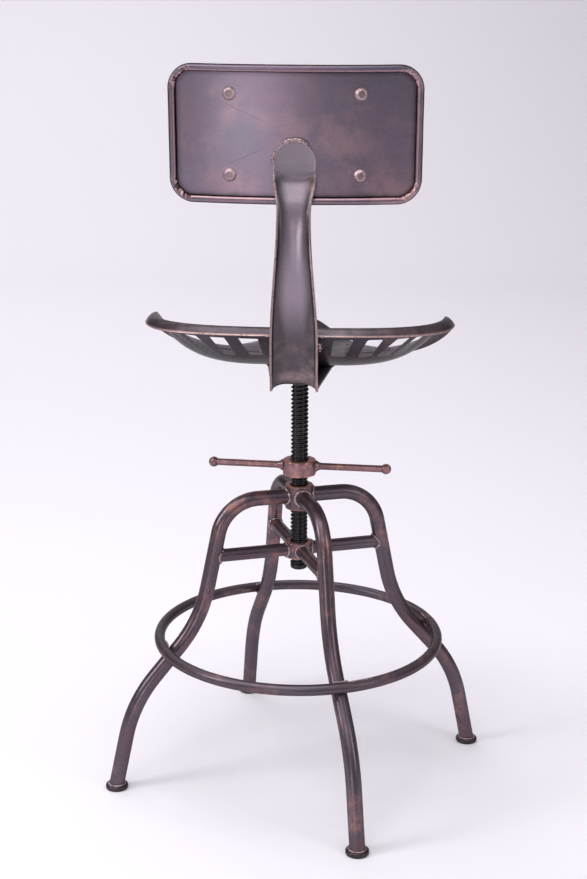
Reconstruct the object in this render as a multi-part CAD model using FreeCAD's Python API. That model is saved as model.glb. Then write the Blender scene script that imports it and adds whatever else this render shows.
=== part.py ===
import FreeCAD, Part
import math
import os
from FreeCAD import Vector

# Tractor seat stool with a back rest, in millimetres.
# The origin is on the screw's axis at the floor, +Z is up and the sitter looks along +Y.

# Base: four bent tube legs, turned a little against the seat
LEG_COUNT = 4
LEG_TURN = 20.2
LEG_TUBE_DIAMETER = 22.0
LEG_TUBE_WALL = 1.5
LEG_STUB_HEIGHT = 429.0
SHOULDER_RADIUS = 111.7
KNEE_RADIUS = 149.0
KNEE_HEIGHT = 250.3
ANKLE_RADIUS = 252.3
ANKLE_HEIGHT = 131.6
FOOT_CIRCLE_RADIUS = 280.6
SHOULDER_BEND = 60.0
KNEE_BEND = 195.0
ANKLE_BEND = 195.0

# Foot caps: pressed into the open ends of the legs
CAP_DIAMETER = 33.0
CAP_HEIGHT = 7.0
CAP_EDGE = 1.6
CAP_SPIGOT_LENGTH = 14.0
CAP_SPIGOT_CLEARANCE = 0.15

# Footrest ring: lies against the outside of the legs
RING_TUBE_DIAMETER = 15.5
RING_TUBE_WALL = 1.5
RING_HEIGHT = 213.0
WELD_GAP = 0.05

# Hubs: turned bosses that carry the legs, the struts and the nut thread
UPPER_HUB_DIAMETER = 40.5
HUB_BELOW_STUB = 19.0
UPPER_HUB_BOTTOM = LEG_STUB_HEIGHT - HUB_BELOW_STUB
UPPER_HUB_HEIGHT = 36.0
LOWER_HUB_DIAMETER = 39.0
LOWER_HUB_HEIGHT = 24.0
HUB_EDGE = 1.0
STRUT_TUBE_DIAMETER = 19.0
STRUT_TUBE_WALL = 1.5
STRUT_HEIGHT = 347.0

# Screw: one steel spindle with a coarse right hand thread
SCREW_DIAMETER = 25.0
SCREW_CORE_DIAMETER = 20.8
SCREW_PITCH = 6.0
THREAD_GROOVE_MOUTH = 4.0
THREAD_GROOVE_FLOOR = 1.8
THREAD_CLEARANCE = 0.4
SCREW_TIP_DIAMETER = 18.0
SCREW_NECK_DIAMETER = 20.0
SCREW_END_GAP = 0.4

# End collar: keeps the spindle from being unscrewed out of the lower hub
COLLAR_DIAMETER = 24.4
COLLAR_HEIGHT = 7.5
COLLAR_BELOW_HUB = 10.5
COLLAR_BOTTOM = STRUT_HEIGHT - LOWER_HUB_HEIGHT / 2 - COLLAR_BELOW_HUB - COLLAR_HEIGHT
COLLAR_EDGE = 2.4
COLLAR_CLEARANCE = 0.08
THREAD_ABOVE_COLLAR = 2.0
SCREW_THREAD_BOTTOM = COLLAR_BOTTOM + COLLAR_HEIGHT + THREAD_ABOVE_COLLAR
TIP_INSIDE_COLLAR = 0.6
SCREW_TIP_BOTTOM = COLLAR_BOTTOM + TIP_INSIDE_COLLAR

# Locking nut: a round hub with a ball ended rod on each side
NUT_DIAMETER = 48.0
NUT_ABOVE_HUB = 15.0
NUT_BOTTOM = UPPER_HUB_BOTTOM + UPPER_HUB_HEIGHT + NUT_ABOVE_HUB
NUT_HEIGHT = 22.5
NUT_EDGE = 1.5
NUT_BORE_CLEARANCE = 0.4
HANDLE_ROD_DIAMETER = 10.0
HANDLE_REACH = 126.0
HANDLE_ABOVE_NUT_FACE = 13.0
HANDLE_HEIGHT = NUT_BOTTOM + HANDLE_ABOVE_NUT_FACE
HANDLE_TURN = -4.7
HANDLE_BALL_DIAMETER = 15.0
HANDLE_ROOT_DIAMETER = 17.0
HANDLE_ROOT_LENGTH = 7.0
HANDLE_GAP = 0.4
HANDLE_BALL_SOCKET = 5.0

# Seat pan: pressed sheet with a rolled edge, four rear slots and six front slots a side
SEAT_SHEET = 2.5
SEAT_HALF_WIDTH = 204.0
SEAT_REAR = 137.0
SEAT_FRONT = 185.0
SEAT_CENTRE = 20.0
FRONT_SQUARENESS = 2.3
REAR_SQUARENESS = 3.0
SEAT_RIM_HEIGHT = 703.8
SEAT_SIDE_DIP = 3.3
SEAT_BOWL_DEPTH = 71.3
SEAT_PAD_TOP = SEAT_RIM_HEIGHT - SEAT_BOWL_DEPTH
SEAT_PAD_RADIUS = 30.0
THIGH_EDGE_DROP = 87.8
POMMEL_RISE = 42.0
POMMEL_HALF_WIDTH = 50.0
RIM_FALL_START = -8.0
RIM_FALL_END = 53.0
REAR_STEEPNESS = 1.6
SIDE_STEEPNESS = 4.2
SIDE_SHARPNESS = 5.0
FRONT_STEEPNESS = 2.4
FLANGE_WIDTH = 14.5
FLANGE_FRONT_WIDTH = 13.0
FLANGE_DROP = 9.3
FLANGE_FRONT_DROP = 6.0
FLANGE_SIDE_DROP = 12.5
FLANGE_ROUNDING = 2.0
SEAT_RAYS = 48
SEAT_INNER_STEPS = (0.05, 0.15, 0.27, 0.40, 0.53, 0.66, 0.78, 0.88, 0.95)
SEAT_FLANGE_STEPS = (0.0, 0.28, 0.62, 1.0)

# Openings in the pan
REAR_SLOT_BELOW_RIM = 19.8
REAR_SLOT_HEIGHT = 30.0
REAR_SLOT_TOP = SEAT_RIM_HEIGHT - REAR_SLOT_BELOW_RIM
REAR_SLOT_BOTTOM = REAR_SLOT_TOP - REAR_SLOT_HEIGHT
REAR_SLOT_TOP_EDGES = ((51.0, 78.0), (97.0, 118.0), (137.0, 154.0), (163.0, 173.0))
REAR_SLOT_BOTTOM_EDGES = ((46.0, 66.0), (83.0, 100.0), (108.0, 124.0), (130.0, 141.0))
REAR_SLOT_CORNER = 3.0
FRONT_SLOT_COUNT = 6
FRONT_SLOT_PITCH = 19.0
FRONT_SLOT_FIRST = 40.0
FRONT_SLOT_WIDTH = 7.0
FRONT_SLOT_INNER = 62.0
FRONT_SLOT_OUTER = 128.0

# Screw flange: dished boss that is welded on the spindle and bolted under the arm and the pan
FLANGE_PLATE_DIAMETER = 68.0
FLANGE_PLATE_THICKNESS = 11.0
FLANGE_HEIGHT = 29.7
FLANGE_NECK_DIAMETER = 29.0
FLANGE_BULGE_OUT = 0.42
FLANGE_BULGE_UP = 0.66
FLANGE_WELD_CLEARANCE = 0.05

# Seat bolts: four domed bolts down through the pan and the arm into the flange
BOLT_COUNT = 4
BOLT_CIRCLE_RADIUS = 21.0
BOLT_DIAMETER = 8.0
BOLT_HEAD_DIAMETER = 16.0
BOLT_HEAD_HEIGHT = 4.6
BOLT_DEPTH = 9.0
BOLT_CLEARANCE = 0.2

# Back arm: pressed channel with its flanges to the rear and below
ARM_SHEET = 3.0
ARM_BASE_HALF_WIDTH = 32.0
ARM_STRAIGHT_LENGTH = 53.0
ARM_WAIST_HALF_WIDTH = 22.0
ARM_TOP_HALF_WIDTH = 27.5
PANEL_ABOVE_RIM = 253.2
PANEL_CENTRE_HEIGHT = SEAT_RIM_HEIGHT + PANEL_ABOVE_RIM
SHOULDER_BELOW_PANEL = 54.0
ARM_SHOULDER_HEIGHT = PANEL_CENTRE_HEIGHT - SHOULDER_BELOW_PANEL
EYE_ABOVE_SHOULDER = 20.5
ARM_EYE_HEIGHT = ARM_SHOULDER_HEIGHT + EYE_ABOVE_SHOULDER
WAIST_BELOW_SHOULDER = 43.0
ARM_WAIST_HEIGHT = ARM_SHOULDER_HEIGHT - WAIST_BELOW_SHOULDER
ARM_FLANGE_DEPTH = 13.0
ARM_SHOULDER_DEPTH = 5.0
ARM_CORNER = 11.0
ARM_THINNING_LENGTH = 57.0
ARM_FOOT_GAP = 0.3
ARM_FOOT_FLANGE_DEPTH = 10.0
ARM_FOOT_LENGTH = 44.0
ARM_FOOT_MIDDLE_HALF_WIDTH = 46.0
ARM_FOOT_HALF_WIDTH = 64.0
ARM_EAR_LEAN = 6.5
ARM_RIM_GAP = 1.0
ARM_TUCK = 4.0
ARM_BULGE = 23.5
ARM_BULGE_STEPS = ((0.16, 0.45), (0.36, 0.85), (0.58, 1.0), (0.84, 0.85))
ARM_BEND = 15.0
ARM_TOUCH = 0.05

# Back panel: curved sheet with its edge rolled to the rear, leaned back a little
PANEL_WIDTH = 327.0
PANEL_HEIGHT = 176.5
PANEL_REAR_OFFSET = 166.0
PANEL_SHEET = 2.0
PANEL_CURVE_RADIUS = 750.0
PANEL_CORNER = 32.0
PANEL_LEAN = 4.5
ROLL_DIAMETER = 12.0
ROLL_WALL = 2.0

# Rivets in the back panel
RIVET_SPACING_X = 168.0
RIVET_SPACING_Z = 103.0
RIVET_DIAMETER = 8.0
RIVET_HEAD_DIAMETER = 17.5
RIVET_FLAT_DIAMETER = 10.0
RIVET_HEAD_HEIGHT = 4.2
RIVET_CLEARANCE = 0.1
RIVET_HEAD_GAP = 0.06


def turned(shape, degrees):
    """The shape turned about the screw's axis."""
    copy = shape.copy()
    copy.rotate(Vector(0, 0, 0), Vector(0, 0, 1), degrees)
    return copy


def cylinder_between(start, end, radius):
    """A cylinder from one point to another."""
    axis = end - start
    return Part.makeCylinder(radius, axis.Length, start, axis)


def chamfered_disc(radius, bottom, height, edge):
    """A turned disc on the screw's axis with both rims broken."""
    top = bottom + height
    outline = [
        Vector(0, 0, bottom),
        Vector(radius - edge, 0, bottom),
        Vector(radius, 0, bottom + edge),
        Vector(radius, 0, top - edge),
        Vector(radius - edge, 0, top),
        Vector(0, 0, top),
        Vector(0, 0, bottom),
    ]
    face = Part.Face(Part.makePolygon(outline))
    return face.revolve(Vector(0, 0, 0), Vector(0, 0, 1), 360)


def rounded_path(corners, radii):
    """Straight runs through the corners, joined by tangent arcs."""
    edges = []
    start = corners[0]
    for index in range(1, len(corners) - 1):
        corner = corners[index]
        radius = radii[index - 1]
        back = (corners[index - 1] - corner).normalize()
        ahead = (corners[index + 1] - corner).normalize()
        half_angle = back.getAngle(ahead) / 2
        setback = radius / math.tan(half_angle)
        bisector = (back + ahead).normalize()
        centre = corner + bisector * (radius / math.sin(half_angle))
        arc_start = corner + back * setback
        arc_end = corner + ahead * setback
        arc_middle = centre - bisector * radius
        edges.append(Part.LineSegment(start, arc_start).toShape())
        edges.append(Part.Arc(arc_start, arc_middle, arc_end).toShape())
        start = arc_end
    edges.append(Part.LineSegment(start, corners[-1]).toShape())
    return Part.Wire(edges)


def swept_rod(path, radius):
    """A round rod along a wire."""
    first = path.OrderedEdges[0]
    start = first.valueAt(first.FirstParameter)
    heading = first.tangentAt(first.FirstParameter)
    section = Part.Wire(Part.makeCircle(radius, start, heading))
    return path.makePipeShell([section], True, False)


def thread_groove(root_radius, outer_radius, mouth, floor_width, bottom, top):
    """The helical groove of a thread, from its width at the mouth and at the floor."""
    helix = Part.makeLongHelix(SCREW_PITCH, top - bottom, outer_radius, 0.0)
    helix.translate(Vector(0, 0, bottom))
    corners = [
        Vector(outer_radius, 0, bottom - mouth / 2),
        Vector(outer_radius, 0, bottom + mouth / 2),
        Vector(root_radius, 0, bottom + floor_width / 2),
        Vector(root_radius, 0, bottom - floor_width / 2),
    ]
    section = Part.Wire(Part.makePolygon(corners + [corners[0]]).Edges)
    return Part.Wire(helix.Edges).makePipeShell([section], True, True)


def threaded_rod(bottom, top, clearance=0.0):
    """The spindle's thread, or with a clearance the tap that cuts a nut for it."""
    crest_radius = SCREW_DIAMETER / 2 + clearance
    root_radius = SCREW_CORE_DIAMETER / 2 + clearance
    outer_radius = crest_radius + 0.1 * SCREW_PITCH
    flank = (THREAD_GROOVE_MOUTH - THREAD_GROOVE_FLOOR) / (SCREW_DIAMETER - SCREW_CORE_DIAMETER)
    mouth = THREAD_GROOVE_MOUTH + 2 * flank * (outer_radius - crest_radius) - 2 * clearance
    floor_width = THREAD_GROOVE_FLOOR - 2 * clearance
    turns_below = math.ceil((bottom - SCREW_THREAD_BOTTOM) / SCREW_PITCH) - 1
    first_turn = SCREW_THREAD_BOTTOM + turns_below * SCREW_PITCH
    groove = thread_groove(root_radius, outer_radius, mouth, floor_width, first_turn, top + SCREW_PITCH)
    rod = Part.makeCylinder(crest_radius, top - bottom, Vector(0, 0, bottom))
    return rod.cut(groove)


def leg_route(end_height):
    """A leg's centre line in the X-Z plane, from inside the hub down to a height below the foot."""
    slope = (FOOT_CIRCLE_RADIUS - ANKLE_RADIUS) / ANKLE_HEIGHT
    corners = [
        Vector(UPPER_HUB_DIAMETER / 4, 0, LEG_STUB_HEIGHT),
        Vector(SHOULDER_RADIUS, 0, LEG_STUB_HEIGHT),
        Vector(KNEE_RADIUS, 0, KNEE_HEIGHT),
        Vector(ANKLE_RADIUS, 0, ANKLE_HEIGHT),
        Vector(FOOT_CIRCLE_RADIUS - slope * end_height, 0, end_height),
    ]
    return rounded_path(corners, [SHOULDER_BEND, KNEE_BEND, ANKLE_BEND])


def ring_radius():
    """The footrest ring just touches the middle run of every leg."""
    knee = Vector(KNEE_RADIUS, 0, KNEE_HEIGHT)
    ankle = Vector(ANKLE_RADIUS, 0, ANKLE_HEIGHT)
    run = (ankle - knee).normalize()
    leg_centre = knee.x + run.x * (RING_HEIGHT - knee.z) / run.z
    reach = (LEG_TUBE_DIAMETER + RING_TUBE_DIAMETER) / 2 + WELD_GAP
    return leg_centre + reach / abs(run.z)


def hub_blank(diameter, bottom, height):
    """A hub before its thread is cut."""
    return chamfered_disc(diameter / 2, bottom, height, HUB_EDGE)


def tapped(blank):
    """The blank with the spindle's nut thread cut through it."""
    box = blank.BoundBox
    margin = SCREW_PITCH
    tap = threaded_rod(box.ZMin - margin, box.ZMax + margin, THREAD_CLEARANCE)
    return blank.cut(tap)


def make_leg_solid(radius):
    """The leg as a bar of one radius, longer than needed at both ends."""
    return swept_rod(leg_route(-LEG_TUBE_DIAMETER), radius)


def make_leg():
    """One hollow leg in the X-Z plane, coped to the upper hub and cut flat on its cap."""
    outer = make_leg_solid(LEG_TUBE_DIAMETER / 2)
    inner = make_leg_solid(LEG_TUBE_DIAMETER / 2 - LEG_TUBE_WALL)
    hub_space = Part.makeCylinder(UPPER_HUB_DIAMETER / 2, UPPER_HUB_HEIGHT, Vector(0, 0, UPPER_HUB_BOTTOM))
    below = Part.makeBox(
        2 * FOOT_CIRCLE_RADIUS, 2 * CAP_DIAMETER, CAP_HEIGHT + 2 * LEG_TUBE_DIAMETER,
        Vector(0, -CAP_DIAMETER, -2 * LEG_TUBE_DIAMETER))
    return outer.cut(inner).cut(hub_space).cut(below)


def make_foot_cap():
    """One cap in the X-Z plane: a broad disc on the floor and a slanted spigot in the leg."""
    slope = (FOOT_CIRCLE_RADIUS - ANKLE_RADIUS) / ANKLE_HEIGHT
    leg_end = Vector(FOOT_CIRCLE_RADIUS - slope * CAP_HEIGHT, 0, CAP_HEIGHT)
    along_leg = Vector(-slope, 0, 1).normalize()
    disc = Part.makeCylinder(CAP_DIAMETER / 2, CAP_HEIGHT, Vector(leg_end.x, 0, 0))
    upper_rim = [edge for edge in disc.Edges if edge.BoundBox.ZMin > CAP_HEIGHT / 2 and edge.Closed]
    disc = disc.makeChamfer(CAP_EDGE, upper_rim)
    spigot_radius = LEG_TUBE_DIAMETER / 2 - LEG_TUBE_WALL - CAP_SPIGOT_CLEARANCE
    spigot_start = leg_end - along_leg * (CAP_HEIGHT / 2)
    spigot_end = leg_end + along_leg * CAP_SPIGOT_LENGTH
    return disc.fuse(cylinder_between(spigot_start, spigot_end, spigot_radius)).removeSplitter()


def make_strut():
    """One hollow strut in the X-Z plane between the lower hub and the leg."""
    start = Vector(0, 0, STRUT_HEIGHT)
    end = Vector(KNEE_RADIUS, 0, STRUT_HEIGHT)
    outer = cylinder_between(start, end, STRUT_TUBE_DIAMETER / 2)
    inner = cylinder_between(start, end, STRUT_TUBE_DIAMETER / 2 - STRUT_TUBE_WALL)
    tube = outer.cut(inner)
    hub_space = Part.makeCylinder(
        LOWER_HUB_DIAMETER / 2, 2 * LOWER_HUB_HEIGHT, Vector(0, 0, STRUT_HEIGHT - LOWER_HUB_HEIGHT))
    pieces = tube.cut(hub_space).cut(make_leg_solid(LEG_TUBE_DIAMETER / 2)).Solids
    return min(pieces, key=lambda piece: piece.CenterOfMass.x)


def make_footrest_ring():
    """The hollow footrest ring."""
    radius = ring_radius()
    centre = Vector(0, 0, RING_HEIGHT)
    outer = Part.makeTorus(radius, RING_TUBE_DIAMETER / 2, centre)
    inner = Part.makeTorus(radius, RING_TUBE_DIAMETER / 2 - RING_TUBE_WALL, centre)
    return outer.cut(inner)


def arm_foot_top():
    """The top of the arm's foot, just under the pan's flat middle."""
    return SEAT_PAD_TOP - SEAT_SHEET - ARM_FOOT_GAP


def flange_top():
    """The top of the screw flange, against the underside of the arm's foot."""
    return arm_foot_top() - ARM_SHEET


def screw_thread_top():
    """The end of the thread, at the foot of the screw flange."""
    return flange_top() - FLANGE_HEIGHT


def make_screw():
    """The spindle: a tip for the collar, the thread, and a neck for the flange."""
    thread = threaded_rod(SCREW_THREAD_BOTTOM, screw_thread_top())
    tip = Part.makeCylinder(
        SCREW_TIP_DIAMETER / 2, SCREW_THREAD_BOTTOM - SCREW_TIP_BOTTOM, Vector(0, 0, SCREW_TIP_BOTTOM))
    neck_height = FLANGE_HEIGHT - SCREW_END_GAP
    neck = Part.makeCylinder(SCREW_NECK_DIAMETER / 2, neck_height, Vector(0, 0, screw_thread_top()))
    return thread.fuse(tip).fuse(neck)


def make_end_collar():
    """The stop ring on the spindle's tip."""
    blank = chamfered_disc(COLLAR_DIAMETER / 2, COLLAR_BOTTOM, COLLAR_HEIGHT, COLLAR_EDGE)
    top = COLLAR_BOTTOM + COLLAR_HEIGHT
    cap = Part.makeCylinder(COLLAR_DIAMETER / 2, COLLAR_HEIGHT / 2, Vector(0, 0, top - COLLAR_HEIGHT / 2))
    bore = Part.makeCylinder(SCREW_TIP_DIAMETER / 2 + COLLAR_CLEARANCE, 3 * COLLAR_HEIGHT,
                             Vector(0, 0, COLLAR_BOTTOM - COLLAR_HEIGHT))
    return blank.fuse(cap).removeSplitter().cut(bore)


def make_lock_hub():
    """The locking nut's round hub."""
    blank = chamfered_disc(NUT_DIAMETER / 2, NUT_BOTTOM, NUT_HEIGHT, NUT_EDGE)
    bore = Part.makeCylinder(SCREW_DIAMETER / 2 + NUT_BORE_CLEARANCE, 3 * NUT_HEIGHT,
                             Vector(0, 0, NUT_BOTTOM - NUT_HEIGHT))
    return blank.cut(bore)


def make_handle_rod():
    """One rod along +X with the weld cone at its root, shaped to the nut's round side."""
    centre = Vector(0, 0, HANDLE_HEIGHT)
    along = Vector(1, 0, 0)
    ball_face = HANDLE_REACH - HANDLE_BALL_DIAMETER / 2 + HANDLE_BALL_SOCKET
    rod = Part.makeCylinder(HANDLE_ROD_DIAMETER / 2, ball_face, centre, along)
    cone_base = NUT_DIAMETER / 2 - HANDLE_ROOT_LENGTH / 2
    cone = Part.makeCone(
        HANDLE_ROOT_DIAMETER / 2, HANDLE_ROD_DIAMETER / 2, 1.5 * HANDLE_ROOT_LENGTH,
        centre + along * cone_base, along)
    nut_space = Part.makeCylinder(NUT_DIAMETER / 2 + HANDLE_GAP, 3 * NUT_HEIGHT,
                                  Vector(0, 0, NUT_BOTTOM - NUT_HEIGHT))
    return rod.fuse(cone).removeSplitter().cut(nut_space)


def make_handle_ball(rod):
    """The ball on a rod's end."""
    centre = Vector(HANDLE_REACH, 0, HANDLE_HEIGHT)
    return Part.makeSphere(HANDLE_BALL_DIAMETER / 2, centre).cut(rod)


def smooth_step(value, start, end):
    """0 before start, 1 after end and a smooth rise between."""
    share = min(max((value - start) / (end - start), 0.0), 1.0)
    return share * share * (3 - 2 * share)


def crest_radius(angle):
    """Distance of the pan's crest line from the screw's axis in one direction."""
    across = abs(math.cos(angle))
    along = math.sin(angle)
    near, far = 1.0, 2 * (SEAT_HALF_WIDTH + SEAT_FRONT)
    for _ in range(50):
        middle = (near + far) / 2
        offset = middle * along - SEAT_CENTRE
        if offset > 0:
            depth, squareness = SEAT_FRONT - SEAT_CENTRE, FRONT_SQUARENESS
        else:
            depth, squareness = SEAT_REAR + SEAT_CENTRE, REAR_SQUARENESS
        reach = (middle * across / SEAT_HALF_WIDTH) ** squareness
        reach += (abs(offset) / depth) ** squareness
        if reach < 1:
            near = middle
        else:
            far = middle
    return middle


def seat_front_share(angle):
    """0 along the high rear rim, 1 along the low front edge."""
    direction = math.degrees(math.asin(math.sin(angle)))
    return smooth_step(direction, RIM_FALL_START, RIM_FALL_END)


def crest_height(angle):
    """Height of the crest line: highest at the rear, low at the thighs, raised at the pommel."""
    front = seat_front_share(angle)
    sideways = abs(math.cos(angle)) ** SIDE_SHARPNESS
    height = SEAT_RIM_HEIGHT - SEAT_SIDE_DIP * sideways * (1 - front) - THIGH_EDGE_DROP * front
    side = crest_radius(angle) * math.cos(angle)
    return height + front * POMMEL_RISE * math.exp(-(side / POMMEL_HALF_WIDTH) ** 2)


def wall_steepness(angle):
    """How late the pan turns up: early at the rear, late at the sides."""
    sideways = abs(math.cos(angle)) ** SIDE_SHARPNESS
    behind = REAR_STEEPNESS + (SIDE_STEEPNESS - REAR_STEEPNESS) * sideways
    return behind + (FRONT_STEEPNESS - behind) * seat_front_share(angle)


def flange_drop(angle):
    """How far the rim's flange comes down: least in front and deepest at the two rear corners."""
    front = seat_front_share(angle)
    sideways = abs(math.cos(angle)) ** 3
    behind = FLANGE_DROP + (FLANGE_SIDE_DROP - FLANGE_DROP) * sideways
    return FLANGE_FRONT_DROP + (behind - FLANGE_FRONT_DROP) * (1 - front) ** 2


def pan_point(station, angle):
    """A point of the pan's upper face: station 0 at the pad, 1 at the crest and 2 at the lip."""
    crest = crest_radius(angle)
    if station <= 1:
        radius = SEAT_PAD_RADIUS + (crest - SEAT_PAD_RADIUS) * station
        rise = crest_height(angle) - SEAT_PAD_TOP
        height = SEAT_PAD_TOP + rise * station ** wall_steepness(angle)
    else:
        outward = station - 1
        width = FLANGE_WIDTH + (FLANGE_FRONT_WIDTH - FLANGE_WIDTH) * seat_front_share(angle)
        radius = crest + width * outward
        height = crest_height(angle) - flange_drop(angle) * outward ** FLANGE_ROUNDING
    return Vector(radius * math.cos(angle), radius * math.sin(angle), height)


def pan_normal(station, angle):
    """The upward normal of the pan's upper face, straight up round the flat pad."""
    if station == 0:
        return Vector(0, 0, 1)
    step = 0.004
    outward = pan_point(station + step, angle) - pan_point(max(station - step, 0.0), angle)
    around = pan_point(station, angle + step) - pan_point(station, angle - step)
    return outward.cross(around).normalize()


def pan_ring(station, depth):
    """A closed curve round the pan at one station, sunk below the upper face by a depth."""
    points = []
    for index in range(SEAT_RAYS):
        angle = 2 * math.pi * index / SEAT_RAYS
        points.append(pan_point(station, angle) - pan_normal(station, angle) * depth)
    places = [index / SEAT_RAYS for index in range(SEAT_RAYS + 1)]
    curve = Part.BSplineCurve()
    curve.interpolate(Points=points, PeriodicFlag=True, Parameters=places)
    return Part.Wire(curve.toShape())


def make_pan_blank():
    """The pressed sheet before its slots are punched."""
    stations = [0.0]
    stations += list(SEAT_INNER_STEPS)
    stations += [1 + step for step in SEAT_FLANGE_STEPS]
    faces = []
    rings = {}
    for depth in (0.0, SEAT_SHEET):
        rings[depth] = [pan_ring(station, depth) for station in stations]
        faces += Part.makeLoft(rings[depth], False, False).Faces
        faces.append(Part.Face(rings[depth][0]))
    faces += Part.makeLoft([rings[0.0][-1], rings[SEAT_SHEET][-1]], False, True).Faces
    shell = Part.Shell(faces)
    shell.sewShape()
    solid = Part.Solid(shell)
    if solid.Volume < 0:
        solid.reverse()
    return solid


def rear_slot(top_edges, bottom_edges, side):
    """The punch for one slot of the rear wall, pushed in from the rear."""
    corners = [
        Vector(side * top_edges[0], -SEAT_REAR - FLANGE_WIDTH, REAR_SLOT_TOP),
        Vector(side * top_edges[1], -SEAT_REAR - FLANGE_WIDTH, REAR_SLOT_TOP),
        Vector(side * bottom_edges[1], -SEAT_REAR - FLANGE_WIDTH, REAR_SLOT_BOTTOM),
        Vector(side * bottom_edges[0], -SEAT_REAR - FLANGE_WIDTH, REAR_SLOT_BOTTOM),
    ]
    face = Part.Face(Part.makePolygon(corners + [corners[0]]))
    punch = face.extrude(Vector(0, SEAT_REAR + FLANGE_WIDTH, 0))
    long_edges = [edge for edge in punch.Edges if edge.Length > SEAT_REAR]
    return punch.makeFillet(REAR_SLOT_CORNER, long_edges)


def front_slot(row, side):
    """The punch for one round ended slot across the thigh rest."""
    centre_y = FRONT_SLOT_FIRST + row * FRONT_SLOT_PITCH
    radius = FRONT_SLOT_WIDTH / 2
    bottom = SEAT_RIM_HEIGHT - THIGH_EDGE_DROP - SEAT_SHEET - FLANGE_FRONT_DROP
    height = SEAT_RIM_HEIGHT - bottom
    inner = side * (FRONT_SLOT_INNER + radius)
    outer = side * (FRONT_SLOT_OUTER - radius)
    low = min(inner, outer)
    middle = Part.makeBox(abs(outer - inner), FRONT_SLOT_WIDTH, height,
                          Vector(low, centre_y - radius, bottom))
    ends = [Part.makeCylinder(radius, height, Vector(x, centre_y, bottom)) for x in (inner, outer)]
    return middle.multiFuse(ends).removeSplitter()


def bolt_places():
    """Centres of the seat bolts on their circle."""
    places = []
    for index in range(BOLT_COUNT):
        angle = math.radians((index + 0.5) * 360 / BOLT_COUNT)
        places.append(Vector(BOLT_CIRCLE_RADIUS * math.cos(angle), BOLT_CIRCLE_RADIUS * math.sin(angle), 0))
    return places


def bolt_holes(clearance):
    """The space of all four bolt shanks."""
    holes = []
    top = SEAT_PAD_TOP
    bottom = flange_top() - BOLT_DEPTH
    for place in bolt_places():
        start = place + Vector(0, 0, bottom)
        holes.append(Part.makeCylinder(BOLT_DIAMETER / 2 + clearance, top - bottom, start))
    return holes


def make_seat_pan():
    """The pan with its slots and bolt holes."""
    punches = bolt_holes(BOLT_CLEARANCE)
    for side in (-1, 1):
        for top_edges, bottom_edges in zip(REAR_SLOT_TOP_EDGES, REAR_SLOT_BOTTOM_EDGES):
            punches.append(rear_slot(top_edges, bottom_edges, side))
        for row in range(FRONT_SLOT_COUNT):
            punches.append(front_slot(row, side))
    return make_pan_blank().cut(punches)


def make_seat_bolts():
    """Four bolts with domed heads on the pan."""
    bolts = []
    radius = BOLT_HEAD_DIAMETER / 2
    sphere_radius = (radius ** 2 + BOLT_HEAD_HEIGHT ** 2) / (2 * BOLT_HEAD_HEIGHT)
    for place, shank in zip(bolt_places(), bolt_holes(0.0)):
        centre = place + Vector(0, 0, SEAT_PAD_TOP + BOLT_HEAD_HEIGHT - sphere_radius)
        dome = Part.makeSphere(sphere_radius, centre)
        slab = Part.makeCylinder(radius, BOLT_HEAD_HEIGHT, place + Vector(0, 0, SEAT_PAD_TOP))
        bolts.append(dome.common(slab).fuse(shank).removeSplitter())
    return Part.makeCompound(bolts)


def make_screw_flange():
    """The dished boss round the spindle's neck."""
    top = flange_top()
    bottom = screw_thread_top()
    rim = top - FLANGE_PLATE_THICKNESS
    neck = FLANGE_NECK_DIAMETER / 2
    edge = FLANGE_PLATE_DIAMETER / 2
    bulge = Vector(neck + (edge - neck) * FLANGE_BULGE_OUT, 0,
                   bottom + (rim - bottom) * FLANGE_BULGE_UP)
    lower = Part.Arc(Vector(neck, 0, bottom), bulge, Vector(edge, 0, rim)).toShape()
    rest = Part.makePolygon([
        Vector(edge, 0, rim), Vector(edge, 0, top), Vector(0, 0, top),
        Vector(0, 0, bottom), Vector(neck, 0, bottom)])
    face = Part.Face(Part.Wire([lower] + rest.Edges))
    blank = face.revolve(Vector(0, 0, 0), Vector(0, 0, 1), 360)
    bore = Part.makeCylinder(SCREW_NECK_DIAMETER / 2 + FLANGE_WELD_CLEARANCE, top, Vector(0, 0, 0))
    return blank.cut(bore).cut(bolt_holes(0.0))


def panel_rear(height):
    """The y of the panel's rear face on its middle line at a height."""
    return -PANEL_REAR_OFFSET - (height - PANEL_CENTRE_HEIGHT) * math.tan(math.radians(PANEL_LEAN))


def arm_half_width(height):
    """Half the arm's width at a height: broad at its base, narrow at its waist."""
    if height < ARM_WAIST_HEIGHT:
        share = smooth_step(height, arm_foot_top() + ARM_STRAIGHT_LENGTH, ARM_WAIST_HEIGHT)
        return ARM_BASE_HALF_WIDTH + (ARM_WAIST_HALF_WIDTH - ARM_BASE_HALF_WIDTH) * share
    share = smooth_step(height, ARM_WAIST_HEIGHT, ARM_SHOULDER_HEIGHT)
    return ARM_WAIST_HALF_WIDTH + (ARM_TOP_HALF_WIDTH - ARM_WAIST_HALF_WIDTH) * share


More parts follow.
